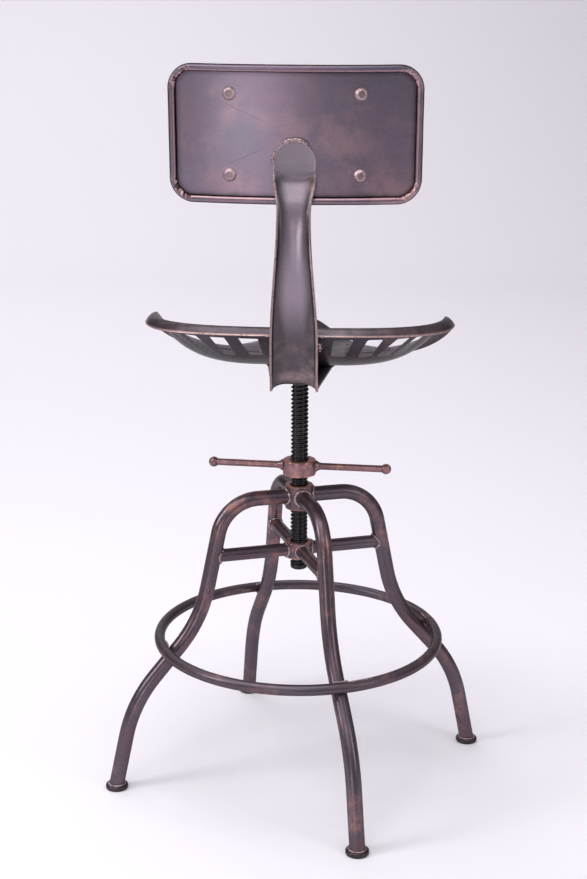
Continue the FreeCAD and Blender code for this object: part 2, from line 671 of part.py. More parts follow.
def arm_route():
    """Points (y, z) of the arm's front face from its heel up to its shoulder."""
    lip = -SEAT_REAR - FLANGE_WIDTH - ARM_RIM_GAP
    roll_clear = panel_rear(PANEL_CENTRE_HEIGHT - PANEL_HEIGHT / 2) - ROLL_DIAMETER
    span = ARM_SHOULDER_HEIGHT - SEAT_RIM_HEIGHT
    route = [
        (lip + ARM_TUCK, arm_foot_top() + ARM_BEND),
        (lip + ARM_TUCK / 3, SEAT_RIM_HEIGHT - 2 * ARM_BEND),
        (lip - ARM_RIM_GAP / 2, SEAT_RIM_HEIGHT - FLANGE_DROP),
    ]
    for up_share, bulge_share in ARM_BULGE_STEPS:
        route.append((lip - bulge_share * ARM_BULGE, SEAT_RIM_HEIGHT + up_share * span))
    route[-1] = (min(roll_clear, route[-1][0]), route[-1][1])
    route.append((panel_rear(ARM_SHOULDER_HEIGHT) - ARM_TOUCH, ARM_SHOULDER_HEIGHT))
    return route


def channel_section(origin, across, rearward, half_width, depth):
    """A closed channel outline: web in front, flanges to the rear, round outer corners."""
    corner = min(ARM_CORNER, 0.8 * depth)
    inner = max(corner - ARM_SHEET, 0.4)
    turn = 1 - math.sqrt(0.5)

    def at(x, n):
        return origin + across * x + rearward * n

    web = half_width - corner
    edges = []
    for side in (1, -1):
        outer_arc = Part.Arc(
            at(side * web, 0),
            at(side * (half_width - corner * turn), corner * turn),
            at(side * half_width, corner))
        inner_side = half_width - ARM_SHEET
        inner_arc = Part.Arc(
            at(side * inner_side, ARM_SHEET + inner),
            at(side * (inner_side - inner * turn), ARM_SHEET + inner * turn),
            at(side * (inner_side - inner), ARM_SHEET))
        parts = [
            outer_arc.toShape(),
            Part.LineSegment(at(side * half_width, corner), at(side * half_width, depth)).toShape(),
            Part.LineSegment(at(side * half_width, depth), at(side * inner_side, depth)).toShape(),
            Part.LineSegment(at(side * inner_side, depth), at(side * inner_side, ARM_SHEET + inner)).toShape(),
            inner_arc.toShape(),
        ]
        edges.append(parts)
    front = Part.LineSegment(at(-web, 0), at(web, 0)).toShape()
    inner_web = half_width - ARM_SHEET - inner
    back = Part.LineSegment(at(inner_web, ARM_SHEET), at(-inner_web, ARM_SHEET)).toShape()
    return Part.Wire([front] + edges[0] + [back] + list(reversed(edges[1])))


def make_arm_upright():
    """The upright channel that follows the arm's route."""
    route = arm_route()
    curve = Part.BSplineCurve()
    curve.interpolate([Vector(0, y, z) for y, z in route])
    sections = []
    across = Vector(1, 0, 0)
    for index in range(len(route)):
        point = Vector(0, route[index][0], route[index][1])
        heading = curve.tangent(curve.parameter(point))[0]
        rearward = heading.cross(across).normalize()
        if rearward.y > 0:
            rearward = rearward * -1
        height = point.z
        thinning = smooth_step(height, ARM_SHOULDER_HEIGHT - 2 * ARM_THINNING_LENGTH, ARM_SHOULDER_HEIGHT)
        depth = ARM_FLANGE_DEPTH + (ARM_SHOULDER_DEPTH - ARM_FLANGE_DEPTH) * thinning
        sections.append(channel_section(point, across, rearward, arm_half_width(height), depth))
    return Part.makeLoft(sections, True, False)


def make_arm_eye():
    """The flat round end that is welded on the back panel."""
    radius = ARM_TOP_HALF_WIDTH
    front = panel_rear(ARM_EYE_HEIGHT) - ARM_TOUCH
    disc = Part.makeCylinder(radius, ARM_SHEET, Vector(0, front, ARM_EYE_HEIGHT), Vector(0, -1, 0))
    drop = EYE_ABOVE_SHOULDER + ARM_SHEET
    slab = Part.makeBox(2 * radius, ARM_SHEET, drop, Vector(-radius, front - ARM_SHEET, ARM_EYE_HEIGHT - drop))
    eye = disc.fuse(slab).removeSplitter()
    eye.rotate(Vector(0, front, ARM_EYE_HEIGHT), Vector(1, 0, 0), PANEL_LEAN)
    return eye


def make_arm_heel():
    """The bend under the pan with its two pointed ears, and where it ends."""
    route = arm_route()
    start = Vector(0, route[0][0], route[0][1])
    above = Vector(0, route[1][0], route[1][1])
    down = (start - above).normalize()
    corner = start + down * ((start.z - arm_foot_top()) / -down.z)
    end = Vector(0, corner.y + ARM_BEND, arm_foot_top())
    first = start - down * ARM_BEND * 0.3
    rear = Vector(0, down.z, -down.y)
    flange_end = start + rear * ARM_FLANGE_DEPTH
    flange_bottom = arm_foot_top() - ARM_FOOT_FLANGE_DEPTH
    ear = Vector(0, flange_end.y + ARM_EAR_LEAN, flange_bottom)
    cheek_points = [
        first, first + rear * ARM_FLANGE_DEPTH, flange_end,
        ear, Vector(0, end.y, flange_bottom), end, corner]
    cheek = Part.Face(Part.makePolygon(cheek_points + [cheek_points[0]]))
    half = ARM_BASE_HALF_WIDTH
    pieces = []
    for side in (-1, 1):
        low = min(side * half, side * (half - ARM_SHEET))
        plate = cheek.copy()
        plate.translate(Vector(low, 0, 0))
        pieces.append(plate.extrude(Vector(ARM_SHEET, 0, 0)))
    path = rounded_path([first, corner, end], [ARM_BEND * 0.8])
    to_side = Vector(half, 0, 0)
    through = rear * ARM_SHEET
    strip = Part.makePolygon([
        first - to_side, first + to_side, first + to_side + through, first - to_side + through,
        first - to_side])
    web = path.makePipeShell([Part.Wire(strip.Edges)], True, False)
    return web.multiFuse(pieces), end.y


def make_arm_foot(start_y):
    """The broad foot below the pan, a channel with its flanges down that flares to the front."""
    flare = ARM_FOOT_MIDDLE_HALF_WIDTH - ARM_BASE_HALF_WIDTH
    stations = [
        (start_y, ARM_BASE_HALF_WIDTH, 1.0),
        (2 * start_y / 3, ARM_BASE_HALF_WIDTH + 0.3 * flare, 1.0),
        (start_y / 3, ARM_BASE_HALF_WIDTH + 0.65 * flare, 1.0),
        (0.0, ARM_FOOT_MIDDLE_HALF_WIDTH, 0.98),
        (0.6 * ARM_FOOT_LENGTH, 0.5 * (ARM_FOOT_MIDDLE_HALF_WIDTH + ARM_FOOT_HALF_WIDTH), 0.85),
        (ARM_FOOT_LENGTH, ARM_FOOT_HALF_WIDTH, 0.6),
    ]
    sections = []
    for y, half_width, share in stations:
        origin = Vector(0, y, arm_foot_top())
        sections.append(channel_section(
            origin, Vector(1, 0, 0), Vector(0, 0, -1), half_width, ARM_FOOT_FLANGE_DEPTH * share))
    return Part.makeLoft(sections, True, False)


def make_back_arm():
    """The whole arm as one pressed piece."""
    heel, heel_end = make_arm_heel()
    foot = make_arm_foot(heel_end)
    arm = make_arm_upright().multiFuse([make_arm_eye(), heel, foot])
    return arm.cut(bolt_holes(BOLT_CLEARANCE))


def panel_half_arc():
    """Half the angle over which the panel is curved: its corners and sides go on flat."""
    return (PANEL_WIDTH / 2 - PANEL_CORNER) / PANEL_CURVE_RADIUS


def on_panel(x, up, rearward):
    """A point of the back panel from its flat layout: across, up and out of its rear face."""
    angle = max(min(x / PANEL_CURVE_RADIUS, panel_half_arc()), -panel_half_arc())
    past_arc = x - angle * PANEL_CURVE_RADIUS
    reach = PANEL_CURVE_RADIUS + rearward
    across = reach * math.sin(angle) + past_arc * math.cos(angle)
    inward = PANEL_CURVE_RADIUS - reach * math.cos(angle) + past_arc * math.sin(angle)
    lean = math.radians(PANEL_LEAN)
    return Vector(
        across,
        inward * math.cos(lean) - up * math.sin(lean) - PANEL_REAR_OFFSET,
        up * math.cos(lean) + inward * math.sin(lean) + PANEL_CENTRE_HEIGHT)


def panel_arc(start, end, rearward):
    """An arc or line on the panel between two points of its flat layout."""
    ends = [on_panel(x, up, rearward) for x, up in (start, end)]
    if start[0] == end[0]:
        return Part.LineSegment(ends[0], ends[1]).toShape()
    middle = on_panel((start[0] + end[0]) / 2, (start[1] + end[1]) / 2, rearward)
    return Part.Arc(ends[0], middle, ends[1]).toShape()


def roll_path(inset, rearward):
    """The closed centre line of the rolled edge: arcs along the top and bottom, lines at the sides."""
    half_width = PANEL_WIDTH / 2 - inset
    half_height = PANEL_HEIGHT / 2 - inset
    corner = PANEL_CORNER - inset
    side_x = half_width - corner
    side_up = half_height - corner
    diagonal = corner * math.sqrt(0.5)
    edges = []
    for side, level in ((1, 1), (-1, 1), (-1, -1), (1, -1)):
        side_end = (side * half_width, level * side_up)
        level_end = (side * side_x, level * half_height)
        middle = (side * (side_x + diagonal), level * (side_up + diagonal))
        first, last = (side_end, level_end) if side * level > 0 else (level_end, side_end)
        points = [on_panel(x, up, rearward) for x, up in (first, middle, last)]
        edges.append(Part.Arc(points[0], points[1], points[2]).toShape())
        if side * level > 0:
            following = (-side * side_x, level * half_height)
        else:
            following = (side * half_width, -level * side_up)
        edges.append(panel_arc(last, following, rearward))
    return Part.Wire(edges)


def make_panel_sheet():
    """The curved sheet, trimmed to the outline through the middle of its rolled edge."""
    half_width = (PANEL_WIDTH - ROLL_DIAMETER) / 2
    half_height = (PANEL_HEIGHT - ROLL_DIAMETER) / 2
    flat_start = PANEL_WIDTH / 2 - PANEL_CORNER
    edges = []
    for depth in (0.0, -PANEL_SHEET):
        across = [on_panel(x, -half_height, depth) for x in (-half_width, -flat_start, 0, flat_start, half_width)]
        edges.append(Part.LineSegment(across[0], across[1]).toShape())
        edges.append(Part.Arc(across[1], across[2], across[3]).toShape())
        edges.append(Part.LineSegment(across[3], across[4]).toShape())
    for side in (-1, 1):
        ends = [on_panel(side * half_width, -half_height, depth) for depth in (0.0, -PANEL_SHEET)]
        edges.append(Part.LineSegment(ends[0], ends[1]).toShape())
    up = on_panel(0, half_height, 0) - on_panel(0, -half_height, 0)
    slab = Part.Face(Part.Wire(Part.sortEdges(edges)[0])).extrude(up)
    corner = PANEL_CORNER - ROLL_DIAMETER / 2
    uprights = [edge for edge in slab.Edges if edge.Length < 1.5 * PANEL_SHEET]
    return slab.makeFillet(corner, uprights)


def make_panel_roll(radius):
    """The bead that the sheet's edge is rolled into."""
    path = roll_path(ROLL_DIAMETER / 2, ROLL_DIAMETER / 2 - PANEL_SHEET)
    return swept_rod(path, radius)


def rivet_places():
    """The four rivets in the panel's flat layout."""
    places = []
    for side in (-1, 1):
        for level in (-1, 1):
            places.append((side * RIVET_SPACING_X / 2, level * RIVET_SPACING_Z / 2))
    return places


def make_back_panel():
    """The sheet, its hollow rolled edge and its rivet holes."""
    roll = make_panel_roll(ROLL_DIAMETER / 2)
    hollow = make_panel_roll(ROLL_DIAMETER / 2 - ROLL_WALL)
    panel = make_panel_sheet().fuse(roll).cut(hollow)
    for x, up in rivet_places():
        front = on_panel(x, up, -3 * PANEL_SHEET)
        rear = on_panel(x, up, 3 * PANEL_SHEET)
        panel = panel.cut(cylinder_between(front, rear, RIVET_DIAMETER / 2 + RIVET_CLEARANCE))
    return panel


def rivet_head(base, outward):
    """A pan head: a cone with a flat top, standing on the sheet."""
    return Part.makeCone(RIVET_HEAD_DIAMETER / 2, RIVET_FLAT_DIAMETER / 2, RIVET_HEAD_HEIGHT, base, outward)


def make_panel_rivets():
    """Four rivets, each with a head in front and behind."""
    rivets = []
    for x, up in rivet_places():
        rear = on_panel(x, up, RIVET_HEAD_GAP)
        front = on_panel(x, up, -PANEL_SHEET - RIVET_HEAD_GAP)
        outward = (rear - front).normalize()
        shank = cylinder_between(front, rear, RIVET_DIAMETER / 2)
        heads = [rivet_head(rear, outward), rivet_head(front, outward * -1)]
        rivets.append(shank.multiFuse(heads).removeSplitter())
    return Part.makeCompound(rivets)


def export(shape, name):
    """Write one node."""
    shape.exportStep(os.path.join("parts", name + ".step"))
    box = shape.optimalBoundingBox()
    print("%-20s solids %d valid %s volume %.0f  z %.1f to %.1f" % (
        name, len(shape.Solids), shape.isValid(), shape.Volume, box.ZMin, box.ZMax))


def make_base():
    """All fixed nodes of the base."""
    nodes = {}
    leg = make_leg()
    cap = make_foot_cap()
    strut = make_strut()
    for index in range(LEG_COUNT):
        angle = LEG_TURN + index * 360 / LEG_COUNT
        number = str(index + 1)
        nodes["leg_" + number] = turned(leg, angle)
        nodes["foot_cap_" + number] = turned(cap, angle)
        nodes["strut_" + number] = turned(strut, angle)
    nodes["upper_hub"] = tapped(hub_blank(UPPER_HUB_DIAMETER, UPPER_HUB_BOTTOM, UPPER_HUB_HEIGHT))
    lower_bottom = STRUT_HEIGHT - LOWER_HUB_HEIGHT / 2
    nodes["lower_hub"] = tapped(hub_blank(LOWER_HUB_DIAMETER, lower_bottom, LOWER_HUB_HEIGHT))
    nodes["footrest_ring"] = make_footrest_ring()
    return nodes


def make_lock():
    """The locking nut's nodes."""
    rod = make_handle_rod()
    ball = make_handle_ball(rod)
    return {
        "lock_hub": make_lock_hub(),
        "lock_rod_right": turned(rod, HANDLE_TURN),
        "lock_ball_right": turned(ball, HANDLE_TURN),
        "lock_rod_left": turned(rod, HANDLE_TURN + 180),
        "lock_ball_left": turned(ball, HANDLE_TURN + 180),
    }


def make_upper():
    """Everything that turns with the seat."""
    return {
        "screw": make_screw(),
        "screw_end_collar": make_end_collar(),
        "screw_flange": make_screw_flange(),
        "seat_pan": make_seat_pan(),
        "seat_bolts": make_seat_bolts(),
        "back_arm": make_back_arm(),
        "back_panel": make_back_panel(),
        "panel_rivets": make_panel_rivets(),
    }


os.makedirs("parts", exist_ok=True)
for group in (make_base(), make_lock(), make_upper()):
    for node_name, node_shape in group.items():
        export(node_shape, node_name)
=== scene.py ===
import bmesh
import bpy
import math
from mathutils import Matrix, Vector, noise


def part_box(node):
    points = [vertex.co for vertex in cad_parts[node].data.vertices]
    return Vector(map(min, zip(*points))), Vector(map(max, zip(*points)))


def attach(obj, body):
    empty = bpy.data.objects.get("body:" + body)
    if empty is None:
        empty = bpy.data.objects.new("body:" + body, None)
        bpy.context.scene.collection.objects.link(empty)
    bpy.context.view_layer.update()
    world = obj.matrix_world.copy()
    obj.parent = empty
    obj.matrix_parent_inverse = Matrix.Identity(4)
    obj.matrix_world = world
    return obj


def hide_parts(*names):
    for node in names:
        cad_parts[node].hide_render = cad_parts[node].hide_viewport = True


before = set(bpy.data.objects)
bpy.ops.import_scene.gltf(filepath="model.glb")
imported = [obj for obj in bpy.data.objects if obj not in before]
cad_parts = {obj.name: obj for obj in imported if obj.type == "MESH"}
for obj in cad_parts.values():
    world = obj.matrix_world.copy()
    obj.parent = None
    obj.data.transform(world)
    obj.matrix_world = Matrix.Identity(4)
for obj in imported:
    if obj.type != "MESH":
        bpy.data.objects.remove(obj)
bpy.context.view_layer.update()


# Foot caps: a thick dark disc under each leg's end, turned like a flat bun, with a well
# rounded edge and a deep gloss.

LEG_COUNT = 4
LEG_TURN = math.radians(20.2)
CAP_RADIUS = 0.0165
CAP_HEIGHT = 0.007
CAP_EDGE = 0.0026
CAP_UNDERCUT = 0.0022
LEG_FOOT = Vector((0.2806, 0, 0))
LEG_ANKLE = Vector((0.2523, 0, 0.1316))
FOOT_SLOPE = (LEG_FOOT.x - LEG_ANKLE.x) / LEG_ANKLE.z


def turned_blank(bm, outline, segments):
    """Turn an outline of (radius, height) pairs on the lathe about the Z axis; give its verts."""
    before = set(bm.verts)
    corners = [bm.verts.new((radius, 0, height)) for radius, height in outline]
    edges = [bm.edges.new(pair) for pair in zip(corners, corners[1:])]
    bmesh.ops.spin(bm, geom=corners + edges, cent=(0, 0, 0), axis=(0, 0, 1), dvec=(0, 0, 0),
                   angle=2 * math.pi, steps=segments, use_merge=True, use_duplicate=False)
    bmesh.ops.remove_doubles(bm, verts=bm.verts, dist=0.00001)
    return [vert for vert in bm.verts if vert not in before]


def stand_piece(bm, name, body, finish, stands_for=(), crease=35, keep_normals=False, worn=None):
    """Make the finished mesh a piece that rides on a body and shows in place of its solids."""
    if not keep_normals:
        bmesh.ops.recalc_face_normals(bm, faces=bm.faces)
    if worn:
        layer = bm.verts.layers.float.new("worn")
        for vert in bm.verts:
            vert[layer] = worn(vert.co)
    mesh = bpy.data.meshes.new(name)
    bm.to_mesh(mesh)
    bm.free()
    mesh.materials.append(finish)
    mesh.shade_smooth()
    mesh.set_sharp_from_angle(angle=math.radians(crease))
    piece = bpy.data.objects.new(name, mesh)
    bpy.context.scene.collection.objects.link(piece)
    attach(piece, body)
    if stands_for:
        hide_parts(*stands_for)
    return piece


def rubbed_patina():
    """Node group: where dark lacquer is rubbed through to copper, with grain and fine dents."""
    group = bpy.data.node_groups.new("rubbed_patina", "ShaderNodeTree")
    for label, value in (("Patch Size", 9.0), ("Patch Amount", 0.5), ("Worn", 0.0),
                         ("Fleck Amount", 0.3), ("Brushing", 0.0)):
        socket = group.interface.new_socket(label, in_out="INPUT", socket_type="NodeSocketFloat")
        socket.default_value = value
    for label in ("Copper", "Cloud", "Grain", "Height"):
        group.interface.new_socket(label, in_out="OUTPUT", socket_type="NodeSocketFloat")
    nodes, links = group.nodes, group.links
    given = nodes.new("NodeGroupInput")
    made = nodes.new("NodeGroupOutput")
    place = nodes.new("ShaderNodeTexCoord")

    def noise_field(scale, detail, rough, distortion=0.0, vector=None):
        field = nodes.new("ShaderNodeTexNoise")
        field.inputs["Detail"].default_value = detail
        field.inputs["Roughness"].default_value = rough
        field.inputs["Distortion"].default_value = distortion
        if isinstance(scale, (int, float)):
            field.inputs["Scale"].default_value = scale
        else:
            links.new(scale, field.inputs["Scale"])
        links.new(vector or place.outputs["Object"], field.inputs["Vector"])
        return field.outputs["Fac"]

    def between(value, low, high):
        step = nodes.new("ShaderNodeMapRange")
        step.interpolation_type = "SMOOTHSTEP"
        step.inputs["From Min"].default_value = low
        step.inputs["From Max"].default_value = high
        links.new(value, step.inputs["Value"])
        return step.outputs["Result"]

    def reckon(operation, first, second, clamp=False):
        sum_node = nodes.new("ShaderNodeMath")
        sum_node.operation = operation
        sum_node.use_clamp = clamp
        for socket, value in zip(sum_node.inputs, (first, second)):
            if isinstance(value, (int, float)):
                socket.default_value = value
            else:
                links.new(value, socket)
        return sum_node.outputs[0]

    strokes = nodes.new("ShaderNodeMapping")
    strokes.inputs["Scale"].default_value = (30.0, 30.0, 950.0)
    links.new(place.outputs["Object"], strokes.inputs["Vector"])
    finer = reckon("MULTIPLY", given.outputs["Patch Size"], 3.7)
    broad = between(noise_field(given.outputs["Patch Size"], 6.0, 0.55, 0.1), 0.46, 0.68)
    patches = reckon("MULTIPLY", broad, between(noise_field(finer, 4.0, 0.6), 0.36, 0.62))
    cloud = between(noise_field(7.0, 4.0, 0.6), 0.35, 0.65)
    dents = noise_field(260.0, 3.0, 0.55)
    speckled = noise_field(1300.0, 3.0, 0.65)
    brushed = noise_field(1.0, 3.0, 0.6, vector=strokes.outputs["Vector"])
    grain = reckon("ADD", speckled, reckon("MULTIPLY", reckon("SUBTRACT", brushed, speckled),
                                           given.outputs["Brushing"]))
    specks = between(noise_field(520.0, 2.0, 0.6), 0.63, 0.70)
    flecks = reckon("MULTIPLY", specks, given.outputs["Fleck Amount"])
    edges = reckon("MULTIPLY", given.outputs["Worn"], between(dents, 0.22, 0.50))
    rubbed = reckon("MULTIPLY", patches, given.outputs["Patch Amount"])
    copper = reckon("ADD", reckon("ADD", rubbed, edges), flecks, True)
    links.new(copper, made.inputs["Copper"])
    links.new(cloud, made.inputs["Cloud"])
    links.new(grain, made.inputs["Grain"])
    links.new(reckon("ADD", reckon("MULTIPLY", grain, 0.35), dents), made.inputs["Height"])
    return group


PATINA = rubbed_patina()
PALER_GRAIN = 1.5
SHADE_DEPTH = 0.12


def bronze_finish(name, dark, cool, copper, patch_size, patch_amount, edge_wear, flecks=0.3,
                  rough=(0.30, 0.50), metal=0.75, bump=0.12, brushing=0.0, lacquer=0.35, hollow=0.0):
    """A lacquered bronze: dark and cool clouds, rubbed to copper where the patina group says."""
    finish = bpy.data.materials.new(name)
    finish.use_nodes = True
    nodes, links = finish.node_tree.nodes, finish.node_tree.links
    shader = nodes["Principled BSDF"]
    patina = nodes.new("ShaderNodeGroup")
    patina.node_tree = PATINA
    for label, value in (("Patch Size", patch_size), ("Patch Amount", patch_amount),
                         ("Fleck Amount", flecks), ("Brushing", brushing)):
        patina.inputs[label].default_value = value

    def blend(share, first, second):
        mix = nodes.new("ShaderNodeMix")
        mix.data_type = "RGBA"
        links.new(share, mix.inputs["Factor"])
        for socket, colour in ((mix.inputs[6], first), (mix.inputs[7], second)):
            if isinstance(colour, tuple):
                socket.default_value = (*colour, 1.0)
            else:
                links.new(colour, socket)
        return mix.outputs[2]

    def marked(attribute, weight):
        mark = nodes.new("ShaderNodeAttribute")
        mark.attribute_name = attribute
        weigh = nodes.new("ShaderNodeMath")
        weigh.operation = "MULTIPLY"
        weigh.inputs[1].default_value = weight
        links.new(mark.outputs["Fac"], weigh.inputs[0])
        return weigh.outputs[0]

    def by_grain(low, high, given_low=0.0, given_high=1.0):
        spread = nodes.new("ShaderNodeMapRange")
        for label, value in (("From Min", low), ("From Max", high),
                             ("To Min", given_low), ("To Max", given_high)):
            spread.inputs[label].default_value = value
        links.new(patina.outputs["Grain"], spread.inputs["Value"])
        return spread.outputs["Result"]

    if edge_wear:
        links.new(marked("worn", edge_wear), patina.inputs["Worn"])
    paler = tuple(PALER_GRAIN * value for value in dark)
    lacquered = blend(by_grain(0.42, 0.85), blend(patina.outputs["Cloud"], dark, cool), paler)
    # Painted shade: the shade attribute darkens the lacquer's colour toward a small share of its dark
    # colour.
    if hollow:
        deeper = tuple(SHADE_DEPTH * value for value in dark)
        lacquered = blend(marked("hollow", hollow), lacquered, deeper)
    links.new(blend(patina.outputs["Copper"], lacquered, copper), shader.inputs["Base Color"])
    links.new(by_grain(0.3, 0.7, *rough), shader.inputs["Roughness"])
    relief = nodes.new("ShaderNodeBump")
    relief.inputs["Strength"].default_value = bump
    relief.inputs["Distance"].default_value = 0.0004
    links.new(patina.outputs["Height"], relief.inputs["Height"])
    links.new(relief.outputs["Normal"], shader.inputs["Normal"])
    shader.inputs["Metallic"].default_value = metal
    shader.inputs["Coat Weight"].default_value = lacquer
    shader.inputs["Coat Roughness"].default_value = 0.22
    shader.inputs["Specular IOR Level"].default_value = 0.12
    shader.inputs["Specular Tint"].default_value = (0.10, 0.08, 0.10, 1.0)
    return finish


COPPER = (0.46, 0.22, 0.18)
cap_bronze = bronze_finish("cap_bronze", (0.030, 0.022, 0.027), (0.032, 0.031, 0.038), COPPER,
                           30.0, 0.10, 0.0, flecks=0.1, rough=(0.20, 0.34), lacquer=0.6)


def round_the_axis(index):
    """The turn from the first leg's plane to one leg."""
    return Matrix.Rotation(LEG_TURN + index * 2 * math.pi / LEG_COUNT, 4, "Z")


def foot_cap(index):
    """One cap, turned and then set under its leg."""
    bm = bmesh.new()
    outline = [(0.0, 0.0), (CAP_RADIUS - CAP_EDGE * 0.4, 0.0)]
    for step in range(7):
        angle = math.radians(-60 + 25 * step)
        if angle > 0:
            height = CAP_HEIGHT - CAP_EDGE + CAP_EDGE * math.sin(angle)
        else:
            height = CAP_UNDERCUT * (1 + math.sin(angle))
        outline.append((CAP_RADIUS - CAP_EDGE + CAP_EDGE * math.cos(angle), height))
    outline += [(CAP_RADIUS - CAP_EDGE * 1.6, CAP_HEIGHT), (0.0, CAP_HEIGHT)]
    turned_blank(bm, outline, 48)
    bmesh.ops.translate(bm, verts=bm.verts, vec=(LEG_FOOT.x - FOOT_SLOPE * CAP_HEIGHT, 0, 0))
    bmesh.ops.transform(bm, matrix=round_the_axis(index), verts=bm.verts)
    number = str(index + 1)
    return stand_piece(bm, "cap_disc_" + number, "base", cap_bronze, ["foot_cap_" + number])


for cap_index in range(LEG_COUNT):
    foot_cap(cap_index)


# Legs: four lengths of 22 mm round tube, bent once at the shoulder and twice more below,
# so that they fall steeply, sweep outward and end nearly upright on their caps.

DARK_BRONZE = (0.105, 0.070, 0.086)
COOL_BRONZE = (0.092, 0.082, 0.108)
leg_bronze = bronze_finish("leg_bronze", DARK_BRONZE, COOL_BRONZE, COPPER, 14.0, 0.60, 0.0,
                           rough=(0.22, 0.40))
LEG_RADIUS = 0.011
LEG_TOP = 0.429
LEG_CORNERS = [Vector((0.0165, 0, LEG_TOP)), Vector((0.1117, 0, LEG_TOP)), Vector((0.149, 0, 0.2503)),
               LEG_ANKLE, LEG_FOOT + (LEG_ANKLE - LEG_FOOT) * (0.0055 / LEG_ANKLE.z)]
LEG_BENDS = [0.060, 0.195, 0.195]


def verts_in(parts):
    """The verts among mixed parts of a mesh."""
    return [part for part in parts if isinstance(part, bmesh.types.BMVert)]


def open_ring(parts):
    """The verts and edges of the new end ring among what an operation made."""
    verts = verts_in(parts)
    edges = [part for part in parts if isinstance(part, bmesh.types.BMEdge)
             and part.verts[0] in verts and part.verts[1] in verts]
    return verts, edges


def edges_at(verts):
    """The edges at some verts, each once."""
    return list(dict.fromkeys(edge for vert in verts for edge in vert.link_edges))


def extend(bm, edges):
    """Extrude the edges of a ring or line in place and give the new ones."""
    return open_ring(bmesh.ops.extrude_edge_only(bm, edges=edges)["geom"])


def bent_tube(bm, corners, bends, radius, loops=32):
    """Bend a tube: straight runs between the corners and a true arc at each of them."""
    heading = (corners[1] - corners[0]).normalized()
    turn = heading.to_track_quat("Z", "Y").to_matrix().to_4x4()
    verts = bmesh.ops.create_circle(bm, segments=loops, radius=radius,
                                    matrix=Matrix.Translation(corners[0]) @ turn)["verts"]
    edges = edges_at(verts)
    bmesh.ops.edgeloop_fill(bm, edges=edges)
    here = corners[0]
    for index, bend in enumerate(bends):
        corner, after = corners[index + 1], corners[index + 2]
        back, ahead = (here - corner).normalized(), (after - corner).normalized()
        half = back.angle(ahead) / 2
        bend_start = corner + back * (bend / math.tan(half))
        centre = corner + (back + ahead).normalized() * (bend / math.sin(half))
        verts, edges = extend(bm, edges)
        bmesh.ops.translate(bm, verts=verts, vec=bend_start - here)
        swing = math.pi - 2 * half
        last = bmesh.ops.spin(bm, geom=verts + edges, cent=centre, axis=back.cross(ahead).normalized(),
                              dvec=(0, 0, 0), angle=-swing, steps=max(6, int(math.degrees(swing) / 3)),
                              use_duplicate=False)["geom_last"]
        verts, edges = open_ring(last)
        here = corner + ahead * (bend / math.tan(half))
    verts, edges = extend(bm, edges)
    bmesh.ops.translate(bm, verts=verts, vec=corners[-1] - here)
    bmesh.ops.edgeloop_fill(bm, edges=edges)


for leg_index in range(LEG_COUNT):
    leg = bmesh.new()
    bent_tube(leg, LEG_CORNERS, LEG_BENDS, LEG_RADIUS)
    bmesh.ops.transform(leg, matrix=round_the_axis(leg_index), verts=leg.verts)
    leg_name = "leg_" + str(leg_index + 1)
    stand_piece(leg, leg_name + "_tube", "base", leg_bronze, [leg_name])


# Hubs: two turned steel bosses, bored for the screw. The upper one carries the legs and
# the lower one the struts; their faces are turned and their rims broken.

hub_bronze = bronze_finish("hub_bronze", (0.110, 0.070, 0.080), COOL_BRONZE, COPPER,
                           55.0, 0.8, 0.8, flecks=0.5)
HUB_RADIUS = 0.02025
LOWER_HUB_RADIUS = 0.0195
BORE_RADIUS = 0.0129


def hub_outline(radius, low, high, rim=0.0011):
    """A boss with a broken rim outside and a chamfer at the mouth of its bore."""
    return [(BORE_RADIUS, low + rim), (BORE_RADIUS + rim, low), (radius - rim, low),
            (radius - rim * 0.3, low + rim * 0.3), (radius, low + rim), (radius, low + 2.5 * rim),
            (radius, high - 2.5 * rim), (radius, high - rim),
            (radius - rim * 0.3, high - rim * 0.3), (radius - rim, high), (BORE_RADIUS + rim, high),
            (BORE_RADIUS, high - rim), (BORE_RADIUS, low + rim)]


def rim_wear(low, high, depth):
    """Wear for a boss: bare at both its rims, and none deeper than this."""
    return lambda co: 1.0 - min(min(abs(co.z - low), abs(co.z - high)) / depth, 1.0)


for hub_name, hub_radius, hub_low, hub_high in (("upper_hub", HUB_RADIUS, 0.410, 0.446),
                                                ("lower_hub", LOWER_HUB_RADIUS, 0.335, 0.359)):
    hub = bmesh.new()
    turned_blank(hub, hub_outline(hub_radius, hub_low, hub_high), 72)
    stand_piece(hub, hub_name + "_boss", "base", hub_bronze, [hub_name],
                        worn=rim_wear(hub_low, hub_high, 0.0025))


# Struts: four short 19 mm tubes that brace the legs against the lower hub. Their plain ends
# run into the hub and the legs, and they are welded all round.

STRUT_RADIUS = 0.0095
STRUT_HEIGHT = 0.347
STRUT_ENDS = [Vector((0.0155, 0, STRUT_HEIGHT)), Vector((0.124, 0, STRUT_HEIGHT))]
for strut_index in range(LEG_COUNT):
    strut = bmesh.new()
    bent_tube(strut, STRUT_ENDS, [], STRUT_RADIUS)
    bmesh.ops.transform(strut, matrix=round_the_axis(strut_index), verts=strut.verts)
    strut_name = "strut_" + str(strut_index + 1)
    stand_piece(strut, strut_name + "_tube", "base", leg_bronze, [strut_name])
